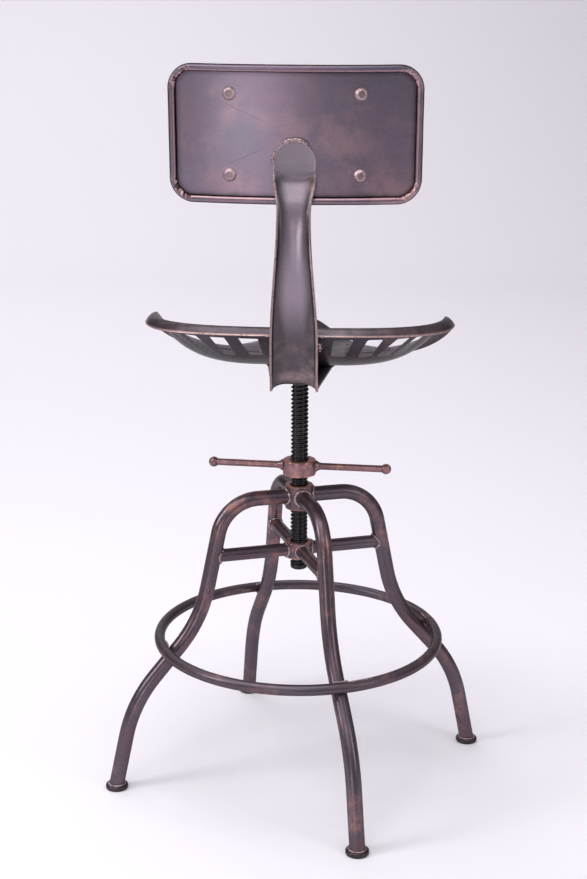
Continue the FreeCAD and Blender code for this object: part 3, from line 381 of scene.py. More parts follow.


# Footrest ring: one 15.5 mm tube rolled to a circle and laid round the outside of the
# legs.

RING_HEIGHT = 0.213
RING_TUBE = 0.00775
RING_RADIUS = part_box("footrest_ring")[1].x - RING_TUBE
ring_bronze = bronze_finish("ring_bronze", (0.088, 0.060, 0.073), COOL_BRONZE, COPPER, 18.0, 0.40, 0.0)
ring = bmesh.new()
ring_start = Matrix.Translation((RING_RADIUS, 0, RING_HEIGHT)) @ Matrix.Rotation(math.pi / 2, 4, "X")
ring_verts = bmesh.ops.create_circle(ring, segments=28, radius=RING_TUBE, matrix=ring_start)["verts"]
bmesh.ops.spin(ring, geom=ring_verts + list(ring.edges), cent=(0, 0, RING_HEIGHT), axis=(0, 0, 1),
               dvec=(0, 0, 0), angle=2 * math.pi, steps=180, use_merge=True, use_duplicate=False)
bmesh.ops.remove_doubles(ring, verts=ring.verts, dist=0.00002)
stand_piece(ring, "footrest_hoop", "base", ring_bronze, ["footrest_ring"])


# Weld beads of the base: laid by hand round every tube end, glossy where the lacquer
# pooled on them. Some spatter lies on the ring beside the rear leg.

weld_bronze = bronze_finish("weld_bronze", (0.27, 0.175, 0.185), (0.27, 0.21, 0.23), (0.68, 0.50, 0.49),
                            110.0, 0.7, 0.0, flecks=0.6, rough=(0.16, 0.30), bump=0.35, lacquer=0.6)
KNEE = LEG_CORNERS[2]


def bead_along(bm, places, widths, loops=10):
    """Lay a weld bead: a ring of metal carried from place to place, closed at both ends."""
    tangent = (places[1] - places[0]).normalized()
    turn = tangent.to_track_quat("Z", "Y").to_matrix().to_4x4()
    ring = bmesh.ops.create_circle(bm, segments=loops, radius=widths[0],
                                   matrix=Matrix.Translation(places[0]) @ turn)["verts"]
    edges = edges_at(ring)
    first_edges = edges
    for index in range(1, len(places)):
        ring, edges = extend(bm, edges)
        bmesh.ops.translate(bm, verts=ring, vec=places[index] - places[index - 1])
        ahead = places[min(index + 1, len(places) - 1)] - places[index - 1]
        swing = tangent.rotation_difference(ahead.normalized())
        tangent = ahead.normalized()
        to_here = Matrix.Translation(-places[index])
        bmesh.ops.rotate(bm, verts=ring, cent=places[index], matrix=swing.to_matrix())
        grow = widths[index] / widths[index - 1]
        bmesh.ops.scale(bm, verts=ring, vec=(grow, grow, grow), space=to_here)
    bmesh.ops.edgeloop_fill(bm, edges=first_edges)
    bmesh.ops.edgeloop_fill(bm, edges=edges)


def stroke_widths(count, width, seed, ripple=0.22):
    """Widths of a hand laid bead: it swells at each stroke and thins out at its ends."""
    widths = []
    for index in range(count):
        stroke = 1 + ripple * math.sin(index * 1.9) + 0.2 * noise.noise(Vector((index * 0.7, seed, 0)))
        ends = min(1.0, 0.25 + 0.5 * index, 0.25 + 0.5 * (count - 1 - index))
        widths.append(width * stroke * ends)
    return widths


def weld_round(bm, middle, axis, reach, width, seed, start=0.0, sweep=2 * math.pi, drop=None):
    """A bead round a tube: its centre line is a circle about the axis, shifted along it by drop."""
    across = axis.orthogonal().normalized()
    upward = axis.cross(across)
    count = max(8, int(sweep * reach / (width * 0.55)))
    places = []
    for index in range(count + 1):
        angle = start + sweep * index / count
        side = across * math.cos(angle) + upward * math.sin(angle)
        shift = drop(side) if drop else 0.0
        places.append(middle + side * reach + axis * shift)
    bead_along(bm, places, stroke_widths(count + 1, width, seed))


def leg_centre_at(height):
    """The x of a leg's centre line on its run above the knee or between knee and ankle."""
    top, low = (LEG_CORNERS[1], KNEE) if height > KNEE.z else (KNEE, LEG_ANKLE)
    return top.x + (low.x - top.x) * (height - top.z) / (low.z - top.z)


def whole(bm):
    """Every part of a mesh."""
    return list(bm.verts) + list(bm.edges) + list(bm.faces)


beads = bmesh.new()
along_x = Vector((1, 0, 0))
weld_round(beads, Vector((0, 0, LEG_TOP)), along_x, LEG_RADIUS + 0.0004, 0.0026, 1,
           drop=lambda side: math.sqrt(HUB_RADIUS ** 2 - (side.y * LEG_RADIUS) ** 2) + 0.0003)
weld_round(beads, Vector((0, 0, STRUT_HEIGHT)), along_x, STRUT_RADIUS + 0.0003, 0.0022, 5,
           drop=lambda side: math.sqrt(LOWER_HUB_RADIUS ** 2 - (side.y * STRUT_RADIUS) ** 2) + 0.0003)
run_lean = (KNEE.x - LEG_CORNERS[1].x) / (KNEE.z - LEG_CORNERS[1].z)
weld_round(beads, Vector((leg_centre_at(STRUT_HEIGHT), 0, STRUT_HEIGHT)), along_x, STRUT_RADIUS + 0.0003,
           0.0021, 9, drop=lambda side: side.z * STRUT_RADIUS * run_lean - math.sqrt(
               LEG_RADIUS ** 2 - (side.y * STRUT_RADIUS) ** 2) - 0.0003)
weld_round(beads, Vector((LEG_FOOT.x - FOOT_SLOPE * CAP_HEIGHT, 0, CAP_HEIGHT + 0.0004)),
           Vector((0, 0, 1)), LEG_RADIUS + 0.0008, 0.0016, 13)
RING_WELD_REACH = RING_RADIUS - 0.006
RING_WELD_SWEEP = 0.105
RING_WELD_RISE = 0.0062
for level in (1, -1):
    arc = []
    for step in range(13):
        swing = (step / 12 - 0.5) * RING_WELD_SWEEP
        arc.append(Vector((RING_WELD_REACH * math.cos(swing), RING_WELD_REACH * math.sin(swing),
                           RING_HEIGHT + level * RING_WELD_RISE)))
    bead_along(beads, arc, stroke_widths(len(arc), 0.0017, level))
first_beads = whole(beads)
bmesh.ops.transform(beads, matrix=round_the_axis(0), verts=beads.verts)
for leg_index in range(1, LEG_COUNT):
    copied = bmesh.ops.duplicate(beads, geom=first_beads)["geom"]
    bmesh.ops.rotate(beads, verts=verts_in(copied), cent=(0, 0, 0),
                     matrix=Matrix.Rotation(leg_index * 2 * math.pi / LEG_COUNT, 3, "Z"))
spatter = []
for step in range(20):
    angle = math.radians(292 + 0.6 * step)
    spatter.append(Vector((RING_RADIUS * math.cos(angle), RING_RADIUS * math.sin(angle),
                          RING_HEIGHT + RING_TUBE - 0.0006)))
bead_along(beads, spatter, stroke_widths(len(spatter), 0.0014, 21, ripple=0.5))
stand_piece(beads, "base_weld_beads", "base", weld_bronze, crease=60)


# Screw: one 25 mm spindle with a coarse rounded thread of 6 mm pitch, left bare and oiled,
# so it is nearly black and only the crests shine. Its end carries a plain stop collar.

PITCH = 0.006
THREAD_LOW = 0.3265
THREAD_HIGH = 0.597
steel = bronze_finish("oiled_steel", (0.020, 0.019, 0.021), (0.030, 0.029, 0.033), (0.13, 0.12, 0.125),
                      60.0, 0.30, 0.5, flecks=0.15, rough=(0.20, 0.38), metal=0.9, lacquer=0.4)


def thread_profile():
    """One turn of the thread from groove to groove, as (radius, height) pairs."""
    root, crest = 0.0104, 0.0125
    return [(root, 0.0), (root, 0.0009), (root + 0.0004, 0.00125), (crest - 0.0004, 0.00185),
            (crest, 0.0022), (crest, 0.0038), (crest - 0.0004, 0.00415), (root + 0.0004, 0.00475),
            (root, 0.0051), (root, PITCH)]


TIP_RADIUS, TIP_LOW = 0.009, 0.3176
NECK_RADIUS, NECK_TOP = 0.010, 0.6263
TIP_CHAMFER = 0.0008
screw = bmesh.new()
turn_steps = 36
profile = [screw.verts.new((radius, 0, height + THREAD_LOW - PITCH)) for radius, height in thread_profile()]
profile_edges = [screw.edges.new(pair) for pair in zip(profile, profile[1:])]
bmesh.ops.spin(screw, geom=profile + profile_edges, cent=(0, 0, 0), axis=(0, 0, 1),
               dvec=(0, 0, PITCH / turn_steps), angle=2 * math.pi, steps=turn_steps, use_duplicate=False)
for doubling in range(6):
    copied = bmesh.ops.duplicate(screw, geom=whole(screw))["geom"]
    bmesh.ops.translate(screw, verts=verts_in(copied), vec=(0, 0, PITCH * 2 ** doubling))
bmesh.ops.remove_doubles(screw, verts=screw.verts, dist=0.00004)
for height, side in ((THREAD_LOW, -1), (THREAD_HIGH, 1)):
    cut = bmesh.ops.bisect_plane(screw, geom=whole(screw), plane_co=(0, 0, height),
                                 plane_no=(0, 0, side), clear_outer=True)
    rim = [part for part in cut["geom_cut"] if isinstance(part, bmesh.types.BMEdge)]
    bmesh.ops.holes_fill(screw, edges=rim, sides=0)
for radius, low, high in ((TIP_RADIUS, TIP_LOW, THREAD_LOW), (NECK_RADIUS, THREAD_HIGH, NECK_TOP)):
    turned_blank(screw, [(0, low), (radius - TIP_CHAMFER, low), (radius, low + TIP_CHAMFER),
                         (radius, high), (0, high)], 40)
stand_piece(screw, "screw_spindle", "seat", steel, ["screw"], crease=50)

COLLAR_BORE, COLLAR_RADIUS = 0.00915, 0.0122
COLLAR_LOW, COLLAR_HIGH = 0.317, 0.3245
collar = bmesh.new()
turned_blank(collar, [(COLLAR_BORE, COLLAR_LOW), (0.0100, COLLAR_LOW), (0.0116, 0.3180),
                      (COLLAR_RADIUS, 0.3196), (COLLAR_RADIUS, 0.3240), (0.0118, COLLAR_HIGH),
                      (COLLAR_BORE, COLLAR_HIGH), (COLLAR_BORE, COLLAR_LOW)], 48)
stand_piece(collar, "screw_stop_collar", "screw_carrier", steel, ["screw_end_collar"])


# Locking nut: a round steel hub that jams on the upper hub. A 10 mm rod is welded on each
# side and ends in a turned ball; hands keep all of it rubbed to copper.

grip_copper = bronze_finish("grip_copper", (0.27, 0.14, 0.147), (0.15, 0.105, 0.120), (0.60, 0.30, 0.25),
                            30.0, 0.9, 0.8, rough=(0.24, 0.40))
GRIP_TURN = math.radians(-4.7)
GRIP_HEIGHT = 0.474
NUT_RADIUS, NUT_LOW, NUT_HIGH = 0.024, 0.461, 0.4835
ROD_RADIUS, ROD_START, ROD_END = 0.005, 0.0245, 0.1225
KNOB_RADIUS, KNOB_FLAT, KNOB_MIDDLE = 0.0075, -0.0055, 0.126
nut = bmesh.new()
turned_blank(nut, hub_outline(NUT_RADIUS, NUT_LOW, NUT_HIGH, rim=0.0016), 80)
stand_piece(nut, "lock_nut_hub", "lock_nut", grip_copper, ["lock_hub"],
                    worn=rim_wear(NUT_LOW, NUT_HIGH, 0.003))

for side_name, side_turn in (("right", 0.0), ("left", math.pi)):
    placed = Matrix.Rotation(GRIP_TURN + side_turn, 4, "Z") @ Matrix.Translation((0, 0, GRIP_HEIGHT)) \
        @ Matrix.Rotation(math.pi / 2, 4, "Y")
    rod = bmesh.new()
    turned_blank(rod, [(0.0, ROD_START), (0.0084, ROD_START), (0.0080, 0.0258), (0.0066, 0.0275),
                       (0.0056, 0.0295), (ROD_RADIUS, 0.0320), (ROD_RADIUS, ROD_END), (0.0, ROD_END)], 32)
    for vert in rod.verts:
        if vert.co.z < ROD_START + 0.0001:
            vert.co.z = max(math.sqrt((NUT_RADIUS + 0.0004) ** 2 - vert.co.y ** 2), vert.co.z - 0.0016)
    bmesh.ops.transform(rod, matrix=placed, verts=rod.verts)
    stand_piece(rod, "lock_bar_" + side_name, "lock_handle", grip_copper,
                        ["lock_rod_" + side_name])
    ball = bmesh.new()
    bmesh.ops.create_uvsphere(ball, u_segments=40, v_segments=24, radius=KNOB_RADIUS)
    for vert in ball.verts:
        vert.co.z = max(vert.co.z, KNOB_FLAT)
    bmesh.ops.translate(ball, verts=ball.verts, vec=(0, 0, KNOB_MIDDLE))
    bmesh.ops.transform(ball, matrix=placed, verts=ball.verts)
    stand_piece(ball, "lock_knob_" + side_name, "lock_handle", grip_copper,
                        ["lock_ball_" + side_name])


# Screw flange: a dished boss welded on the screw's neck. It carries the arm and the pan
# on its flat top.

seat_bronze = bronze_finish("seat_bronze", (0.062, 0.043, 0.052), (0.058, 0.052, 0.067), (0.58, 0.39, 0.37),
                            12.0, 0.14, 1.0, flecks=0.15)
DISH_BORE, DISH_NECK, DISH_RADIUS = 0.01005, 0.0145, 0.034
DISH_TOP = 0.6269
DISH_RISE = 0.0187
flange = bmesh.new()
flange_outline = [(DISH_BORE, THREAD_HIGH), (DISH_NECK, THREAD_HIGH)]
for step in range(1, 9):
    share = step / 8
    flange_outline.append((DISH_NECK + (DISH_RADIUS - DISH_NECK) * share ** 1.25,
                           THREAD_HIGH + DISH_RISE * share ** 0.62))
flange_outline += [(DISH_RADIUS, DISH_TOP - 0.0004), (DISH_RADIUS - 0.0004, DISH_TOP),
                   (DISH_BORE, DISH_TOP), (DISH_BORE, THREAD_HIGH)]
turned_blank(flange, flange_outline, 72)
stand_piece(flange, "screw_dish", "seat", seat_bronze, ["screw_flange"])


# Seat pan: one pressing of thick sheet, deep at the back and sides, low at the thighs with
# a rise between them. Its rim turns outward all round and its slots are punched.

PAN_RAYS = 240
PAD_TOP = 0.6325
PAD_RADIUS = 0.030
PAN_SHEET = 0.0025
HALF_WIDTH = 0.204
PAN_MIDDLE = 0.020
FRONT_SHAPE = (0.165, 2.3)
REAR_SHAPE = (0.157, 3.0)
RIM_TOP = 0.7038
SIDE_DIP = 0.0033
THIGH_DROP = 0.0878
THIGH_RISE, RISE_WIDTH = 0.042, 0.050
LIP_REACH, LIP_NARROWER = 0.0145, 0.0015
LIP_DROP, LIP_SIDE_DROP, LIP_FRONT_DROP = 0.0093, 0.0032, 0.006
LIP_RUBBED = 0.0016
STEEP_REAR, STEEP_SIDE, STEEP_FRONT = 1.6, 2.6, 2.4


def ease(value, start, end):
    """0 before start, 1 after end and a smooth rise between."""
    share = min(max((value - start) / (end - start), 0.0), 1.0)
    return share * share * (3 - 2 * share)


def front_share(angle):
    """0 along the high rear rim, 1 along the low front edge."""
    return ease(math.degrees(math.asin(math.sin(angle))), -8.0, 53.0)


def rim_reach(angle):
    """Distance of the pan's crest from the screw's axis, by halving, on a squarish oval."""
    near, far = 0.001, 0.8
    for _ in range(40):
        middle = (near + far) / 2
        offset = middle * math.sin(angle) - PAN_MIDDLE
        depth, squareness = FRONT_SHAPE if offset > 0 else REAR_SHAPE
        across = (middle * abs(math.cos(angle)) / HALF_WIDTH) ** squareness
        inside = across + (abs(offset) / depth) ** squareness < 1
        near, far = (middle, far) if inside else (near, middle)
    return middle


def rim_height(angle):
    """Height of the crest: highest behind, low at the thighs, raised between them."""
    front = front_share(angle)
    side = rim_reach(angle) * math.cos(angle)
    dip = SIDE_DIP * abs(math.cos(angle)) ** 5 * (1 - front)
    rise = THIGH_RISE * math.exp(-(side / RISE_WIDTH) ** 2)
    return RIM_TOP - dip - THIGH_DROP * front + front * rise


def lip_reach(angle):
    """Distance of the lip from the screw's axis."""
    return rim_reach(angle) + LIP_REACH - LIP_NARROWER * front_share(angle)


def pan_place(station, angle):
    """A point of the pan's upper face: station 0 at the pad, 1 at the crest and 2 at the lip."""
    reach, front, height = rim_reach(angle), front_share(angle), rim_height(angle)
    if station <= 1:
        behind = STEEP_REAR + STEEP_SIDE * abs(math.cos(angle)) ** 5
        steepness = behind + (STEEP_FRONT - behind) * front
        radius = PAD_RADIUS + (reach - PAD_RADIUS) * station
        level = PAD_TOP + (height - PAD_TOP) * station ** steepness
    else:
        radius = reach + (LIP_REACH - LIP_NARROWER * front) * (station - 1)
        behind = LIP_DROP + LIP_SIDE_DROP * abs(math.cos(angle)) ** 3
        drop = LIP_FRONT_DROP + (behind - LIP_FRONT_DROP) * (1 - front) ** 2
        level = height - drop * (station - 1) ** 2
    return Vector((radius * math.cos(angle), radius * math.sin(angle), level))


pan = bmesh.new()
pan_ring = bmesh.ops.create_circle(pan, segments=PAN_RAYS, radius=PAD_RADIUS,
                                   matrix=Matrix.Translation((0, 0, PAD_TOP)))["verts"]
pan_edges = list(pan.edges)
stations = [(step / 34) ** 0.9 for step in range(1, 35)] + [1 + step / 8 for step in range(1, 9)]
for station in stations:
    pan_ring, pan_edges = extend(pan, pan_edges)
    for vert in pan_ring:
        vert.co = pan_place(station, math.atan2(vert.co.y, vert.co.x))
inner_edges = [edge for edge in pan.edges
               if edge.is_boundary and edge.verts[0].co.xy.length < PAD_RADIUS + 0.001]
bmesh.ops.edgeloop_fill(pan, edges=inner_edges)
bmesh.ops.recalc_face_normals(pan, faces=pan.faces)
if min(pan.faces, key=lambda face: face.calc_center_median().xy.length).normal.z < 0:
    bmesh.ops.reverse_faces(pan, faces=pan.faces)
bmesh.ops.solidify(pan, geom=list(pan.faces), thickness=PAN_SHEET)

SLOT_TOPS = ((0.051, 0.078), (0.097, 0.118), (0.137, 0.154), (0.163, 0.173))
SLOT_BOTTOMS = ((0.046, 0.066), (0.083, 0.100), (0.108, 0.124), (0.130, 0.141))
SLOT_HIGH, SLOT_LOW = 0.684, 0.654
THIGH_SLOT = (0.062, 0.128)
THIGH_SLOT_HALF = 0.0035
THIGH_FIRST, THIGH_STEP = 0.040, 0.019
punches = bmesh.new()


def punch_out(corners, sweep, rounding):
    """One punch: a block on four corners, pushed along a sweep, its four long edges rounded."""
    block = bmesh.ops.create_cube(punches, size=1.0)["verts"]
    for vert in block:
        low, left = vert.co.z < 0, vert.co.x < 0
        place = corners[(3 if left else 2) if low else (0 if left else 1)]
        vert.co = place + (sweep if vert.co.y > 0 else Vector((0, 0, 0)))
    long_edges = [edge for edge in edges_at(block)
                  if (edge.verts[0].co - edge.verts[1].co).cross(sweep).length < 1e-6]
    bmesh.ops.bevel(punches, geom=long_edges, offset=rounding, segments=5, profile=0.5,
                    affect="EDGES", material=-1)


for side in (-1, 1):
    for top, bottom in zip(SLOT_TOPS, SLOT_BOTTOMS):
        corners = [Vector((side * x, -0.16, z)) for x, z in (
            (top[0], SLOT_HIGH), (top[1], SLOT_HIGH), (bottom[1], SLOT_LOW), (bottom[0], SLOT_LOW))]
        punch_out(corners, Vector((0, 0.15, 0)), 0.003)
    for row in range(6):
        y = THIGH_FIRST + THIGH_STEP * row
        near, far = THIGH_SLOT
        corners = [Vector((side * x, y + edge * THIGH_SLOT_HALF, 0.59)) for x, edge in (
            (near, 1), (far, 1), (far, -1), (near, -1))]
        punch_out(corners, Vector((0, 0, 0.12)), THIGH_SLOT_HALF - 0.00005)
bmesh.ops.recalc_face_normals(punches, faces=punches.faces)
punch_mesh = bpy.data.meshes.new("punches")
punches.to_mesh(punch_mesh)
punches.free()
punch = bpy.data.objects.new("punches", punch_mesh)
bpy.context.scene.collection.objects.link(punch)


def lip_wear(co):
    """Bare metal along the lip of the rim."""
    lip = lip_reach(math.atan2(co.y, co.x))
    return 1.0 - min(abs(math.hypot(co.x, co.y) - lip) / LIP_RUBBED, 1.0)


pan_piece = stand_piece(pan, "seat_pressing", "seat", seat_bronze, ["seat_pan"], worn=lip_wear)
cut = pan_piece.modifiers.new("slots", "BOOLEAN")
cut.operation = "DIFFERENCE"
cut.solver = "EXACT"
cut.object = punch
punched = bpy.data.meshes.new_from_object(pan_piece.evaluated_get(bpy.context.evaluated_depsgraph_get()))
pan_piece.modifiers.clear()
pan_piece.data = punched
punched.name = "seat_pressing"
punched.shade_smooth()
punched.set_sharp_from_angle(angle=math.radians(40))
bpy.data.objects.remove(punch)


# Seat bolts: four dome headed bolts through the pan's flat middle and the arm's foot into
# the flange.

BOLT_HEAD, BOLT_SHANK, BOLT_CIRCLE = 0.0080, 0.0040, 0.021
BOLT_DOME = 0.0046
BOLT_END = 0.6181
bolts = bmesh.new()
for bolt_index in range(4):
    dome = [(0.0, BOLT_END), (BOLT_SHANK, BOLT_END), (BOLT_SHANK, PAD_TOP), (BOLT_HEAD, PAD_TOP)]
    for step in range(1, 8):
        angle = math.radians(90 * step / 7)
        dome.append((BOLT_HEAD * math.cos(angle), PAD_TOP + BOLT_DOME * math.sin(angle)))
    bolt = turned_blank(bolts, dome, 32)
    quarter = math.radians(45 + 90 * bolt_index)
    bmesh.ops.translate(bolts, verts=bolt, vec=(BOLT_CIRCLE * math.cos(quarter),
                                                BOLT_CIRCLE * math.sin(quarter), 0))
stand_piece(bolts, "seat_bolt_heads", "seat", grip_copper, ["seat_bolts"])


# Back arm: one pressing of 3 mm sheet. A broad foot under the pan, a tight heel, a trough
# shaped blade that narrows and widens again, and a flat round end on the panel.

# The arm's finish is darkened by painted shade on its flanks, its lower blade and its eye.
arm_bronze = bronze_finish("arm_bronze", (0.265, 0.208, 0.250), (0.235, 0.215, 0.265), (0.58, 0.40, 0.39),
                           11.0, 0.28, 0.85, flecks=0.12, rough=(0.26, 0.38), brushing=0.08, hollow=0.85)
ARM_SHEET = 0.003
FOOT_TOP = 0.6297
PANEL_LEAN = math.radians(4.5)


def panel_back(height):
    """The y of the panel's rear face on its middle line."""
    return -0.166 - (height - 0.957) * math.tan(PANEL_LEAN)


ARM_SPINE = [(-0.1485, 0.6447), (-0.1512, 0.6738), (-0.153, 0.6945), (-0.1631, 0.7357), (-0.1725, 0.7755),
             (-0.176, 0.8193), (-0.1730, 0.8711), (panel_back(0.896) - 0.0030, 0.896),
             (panel_back(0.908) - 0.0010, 0.908), (panel_back(0.9215) - 0.00005, 0.9215)]
ARM_HALF = 0.032
WAIST_HALF = 0.022
EYE_RADIUS = 0.0275
EYE_CENTRE = 0.9235
TAPER_START, WAIST_HEIGHT, EYE_START = 0.6827, 0.860, 0.903
ROUND_START, ROUND_FULL = 0.75, 0.82


def arm_side(height):
    """Half the blade's width."""
    if height < WAIST_HEIGHT:
        return ARM_HALF - (ARM_HALF - WAIST_HALF) * ease(height, TAPER_START, WAIST_HEIGHT)
    return WAIST_HALF + (EYE_RADIUS - WAIST_HALF) * ease(height, WAIST_HEIGHT, EYE_START)


def spine_curve():
    """Even points along the blade's front face, on a smooth curve through its spine."""
    curve = bpy.data.curves.new("arm_spine", "CURVE")
    curve.dimensions = "3D"
    line = curve.splines.new("BEZIER")
    line.bezier_points.add(len(ARM_SPINE) - 1)
    for point, (y, z) in zip(line.bezier_points, ARM_SPINE):
        point.co = (0, y, z)
        point.handle_left_type = point.handle_right_type = "AUTO"
    line.resolution_u = 10
    holder = bpy.data.objects.new("arm_spine", curve)
    bpy.context.scene.collection.objects.link(holder)
    shape = bpy.data.meshes.new_from_object(holder)
    places = [vert.co.copy() for vert in shape.vertices]
    bpy.data.objects.remove(holder)
    return places


def grow_in_order(bm, ordered, edges):
    """Extrude edges and give the new verts in the order of the old ones."""
    fresh = set(verts_in(bmesh.ops.extrude_edge_only(bm, edges=edges)["geom"]))
    return [next(edge.other_vert(vert) for edge in vert.link_edges if edge.other_vert(vert) in fresh)
            for vert in ordered]


def arm_line(bm, ordered, place, back, half, depth):
    """Carry the pressing's cross line to a new place: a web that rises to a deep side each way."""
    rounder = ease(place.z, ROUND_START, ROUND_FULL) * 0.8 * half
    side_run = min(max(1.9 * depth, rounder), 0.88 * half)
    side_rise = 0.9 * depth
    outline = [(half, depth)]
    for step in range(11):
        angle = math.radians(90 * step / 10)
        outline.append((half - side_run + side_run * math.cos(angle), side_rise * (1 - math.sin(angle))))
    flat = half - side_run
    outline += [(x, 0.0) for x in (max(flat - 0.0012, 0.8 * flat), 0.6 * flat, 0.3 * flat)]
    outline = outline + [(0.0, 0.0)] + [(-x, n) for x, n in reversed(outline)]
    if ordered is None:
        carried = [bm.verts.new((0, 0, 0)) for _ in outline]
        for pair in zip(carried, carried[1:]):
            bm.edges.new(pair)
    else:
        carried = grow_in_order(bm, ordered, [bm.edges.get(pair) for pair in zip(ordered, ordered[1:])])
    # The heel's bend is rubbed bare. Painted shade darkens the deep sides and the lower blade, most of all
    # low down, and lies lightly over everything above the shoulder.
    bare, dark = bm.verts.layers.float["worn"], bm.verts.layers.float["hollow"]
    heel_rub = 0.3 * math.exp(-((place.z - 0.641) / 0.006) ** 2) if place.y < -0.13 else 0.0
    heel_shade = 0.95 * (1 - ease(place.z, 0.680, 0.760))
    for vert, (x, n) in zip(carried, outline):
        out = abs(x) / half
        vert.co = place + Vector((x, 0, 0)) + back * n
        vert[bare] = 0.5 if n == depth else heel_rub * (1 - ease(out, 0.5, 0.9))
        vert[dark] = min((ease(out, 0.30, 0.92) + heel_shade) * ease(depth, 0.001, 0.005)
                         + 0.28 * ease(place.z, 0.895, 0.905), 1.0)
    return carried


HEEL_BEND = 0.012
FOOT_FLANGE = 0.010
FLANGE_DEPTH = 0.013
BLADE_LOSES, EYE_LOSES = 0.008, 0.0046
EAR_LEAN = 0.0065
EYE_RUBBED = 0.0014
arm = bmesh.new()
arm.verts.layers.float.new("worn")
arm.verts.layers.float.new("hollow")
down_run = (Vector((0, *ARM_SPINE[0])) - Vector((0, *ARM_SPINE[1]))).normalized()
heel_start = Vector((0, *ARM_SPINE[0]))
heel_corner = heel_start + down_run * ((heel_start.z - FOOT_TOP) / -down_run.z)
heel_end = heel_corner.y + 0.015
heel_half = (-down_run).angle(Vector((0, 1, 0))) / 2
heel_reach = HEEL_BEND / math.tan(heel_half)
bend_low = heel_corner + Vector((0, heel_reach, 0))
heel_centre = bend_low + Vector((0, 0, HEEL_BEND))

FOOT_HALF = 0.046
FOOT_LINES = ((0.044, 0.064, 0.6), (0.0264, 0.055, 0.85), (0.012, 0.050, 0.93), (0.0, FOOT_HALF, 0.98))
DOWN = Vector((0, 0, -1))
line = None
for y, half, share in FOOT_LINES:
    line = arm_line(arm, line, Vector((0, y, FOOT_TOP)), DOWN, half, FOOT_FLANGE * share)
foot_run = bend_low.y + 0.001
for step in range(1, 8):
    half = FOOT_HALF + (ARM_HALF - FOOT_HALF) * min(step / 7 * foot_run / heel_end, 1.0)
    line = arm_line(arm, line, Vector((0, foot_run * step / 7, FOOT_TOP)), DOWN, half, FOOT_FLANGE)
rear_face = Vector((0, down_run.z, -down_run.y))
ear_top = heel_start + rear_face * FLANGE_DEPTH
ear_drop = FOOT_TOP - FOOT_FLANGE
ear_slope = EAR_LEAN / (ear_top.z - ear_drop)
full_swing = math.pi - 2 * heel_half
for step in range(15):
    swing = full_swing * step / 14
    ray = Vector((0, -math.sin(swing), -math.cos(swing)))
    depth = (heel_centre.z - ear_drop) / max(-ray.z, 0.001)
    if ray.y < -0.01:
        side_reach = (ear_top.y + (ear_top.z - heel_centre.z) * ear_slope - heel_centre.y) \
            / (ray.y + ear_slope * ray.z)
        depth = min(depth, side_reach)
    line = arm_line(arm, line, heel_centre + ray * HEEL_BEND, ray, ARM_HALF, depth - HEEL_BEND)
spine = spine_curve()
for index, place in enumerate(spine):
    ahead = spine[min(index + 1, len(spine) - 1)] - spine[max(index - 1, 0)]
    back = Vector((0, -ahead.z, ahead.y)).normalized()
    depth = FLANGE_DEPTH - BLADE_LOSES * ease(place.z, 0.789, EYE_START) \
        - EYE_LOSES * ease(place.z, 0.894, 0.913)
    line = arm_line(arm, line, place, back, arm_side(place.z), depth)
eye_back = Vector((0, -math.cos(PANEL_LEAN), -math.sin(PANEL_LEAN)))
for step in range(17):
    swing = math.radians(88 * step / 16)
    height = EYE_CENTRE + EYE_RADIUS * math.sin(swing)
    line = arm_line(arm, line, Vector((0, panel_back(height) - 0.00005, height)), eye_back,
                    EYE_RADIUS * math.cos(swing), 0.0004)
bare_edge = arm.verts.layers.float["worn"]
for vert in arm.verts:
    if vert.co.z > 0.905:
        from_middle = math.hypot(vert.co.x, max(vert.co.z - EYE_CENTRE, 0.0))
        vert[bare_edge] = max(1.0 - (EYE_RADIUS - from_middle) / EYE_RUBBED, 0.0)
bmesh.ops.recalc_face_normals(arm, faces=arm.faces)
foremost = max(arm.faces, key=lambda face: face.calc_center_median().y)
if foremost.normal.z < 0:
    bmesh.ops.reverse_faces(arm, faces=arm.faces)


def thicken(piece, thickness, edge_width):
    """Give a pressing its sheet thickness behind the modelled face and break its edges."""
    wall = piece.modifiers.new("wall", "SOLIDIFY")
    wall.thickness = thickness
    wall.offset = -1
    rim = piece.modifiers.new("rim", "BEVEL")
    rim.width = edge_width
    rim.segments = 2
    rim.limit_method = "ANGLE"
    rim.angle_limit = math.radians(50)


arm_piece = stand_piece(arm, "back_arm_pressing", "seat", arm_bronze, ["back_arm"], keep_normals=True)
thicken(arm_piece, ARM_SHEET, 0.0005)


# Back panel: a curved sheet 327 mm wide, with its whole edge rolled to the rear into a
# bead. The roll is crumpled at the corners and rubbed bright along its inside.

# The panel's finish is darkened by painted shade on its roll and along the border inside it.
panel_bronze = bronze_finish("panel_bronze", (0.205, 0.149, 0.190), (0.172, 0.157, 0.204),
                             (0.50, 0.315, 0.325), 8.0, 0.42, 1.2, rough=(0.26, 0.44), brushing=0.25,
                             metal=0.92, lacquer=0.0, hollow=1.0)
PANEL_HALF = (0.1635, 0.08825)
PANEL_CORNER = 0.032
PANEL_CURVE = 0.750
PANEL_SHEET = 0.002
PANEL_CENTRE = Vector((0, -0.166, 0.957))
CORNER_STEPS = 46
ROLL = 0.0049
ROLL_INSET = 0.00006
BRIGHT_LINE, BRIGHT_SPREAD = 128, 13
DARK_LINE, DARK_SPREAD = 104, 9


def on_panel(x, up, rearward):
    """A point of the panel from its flat layout: across, up and out of its rear face."""
    most = (PANEL_HALF[0] - PANEL_CORNER) / PANEL_CURVE
    angle = max(min(x / PANEL_CURVE, most), -most)
    past = x - angle * PANEL_CURVE
    reach = PANEL_CURVE + rearward
    across = reach * math.sin(angle) + past * math.cos(angle)
    inward = PANEL_CURVE - reach * math.cos(angle) + past * math.sin(angle)
    return PANEL_CENTRE + Vector((
        across,
        inward * math.cos(PANEL_LEAN) - up * math.sin(PANEL_LEAN),
        up * math.cos(PANEL_LEAN) + inward * math.sin(PANEL_LEAN)))


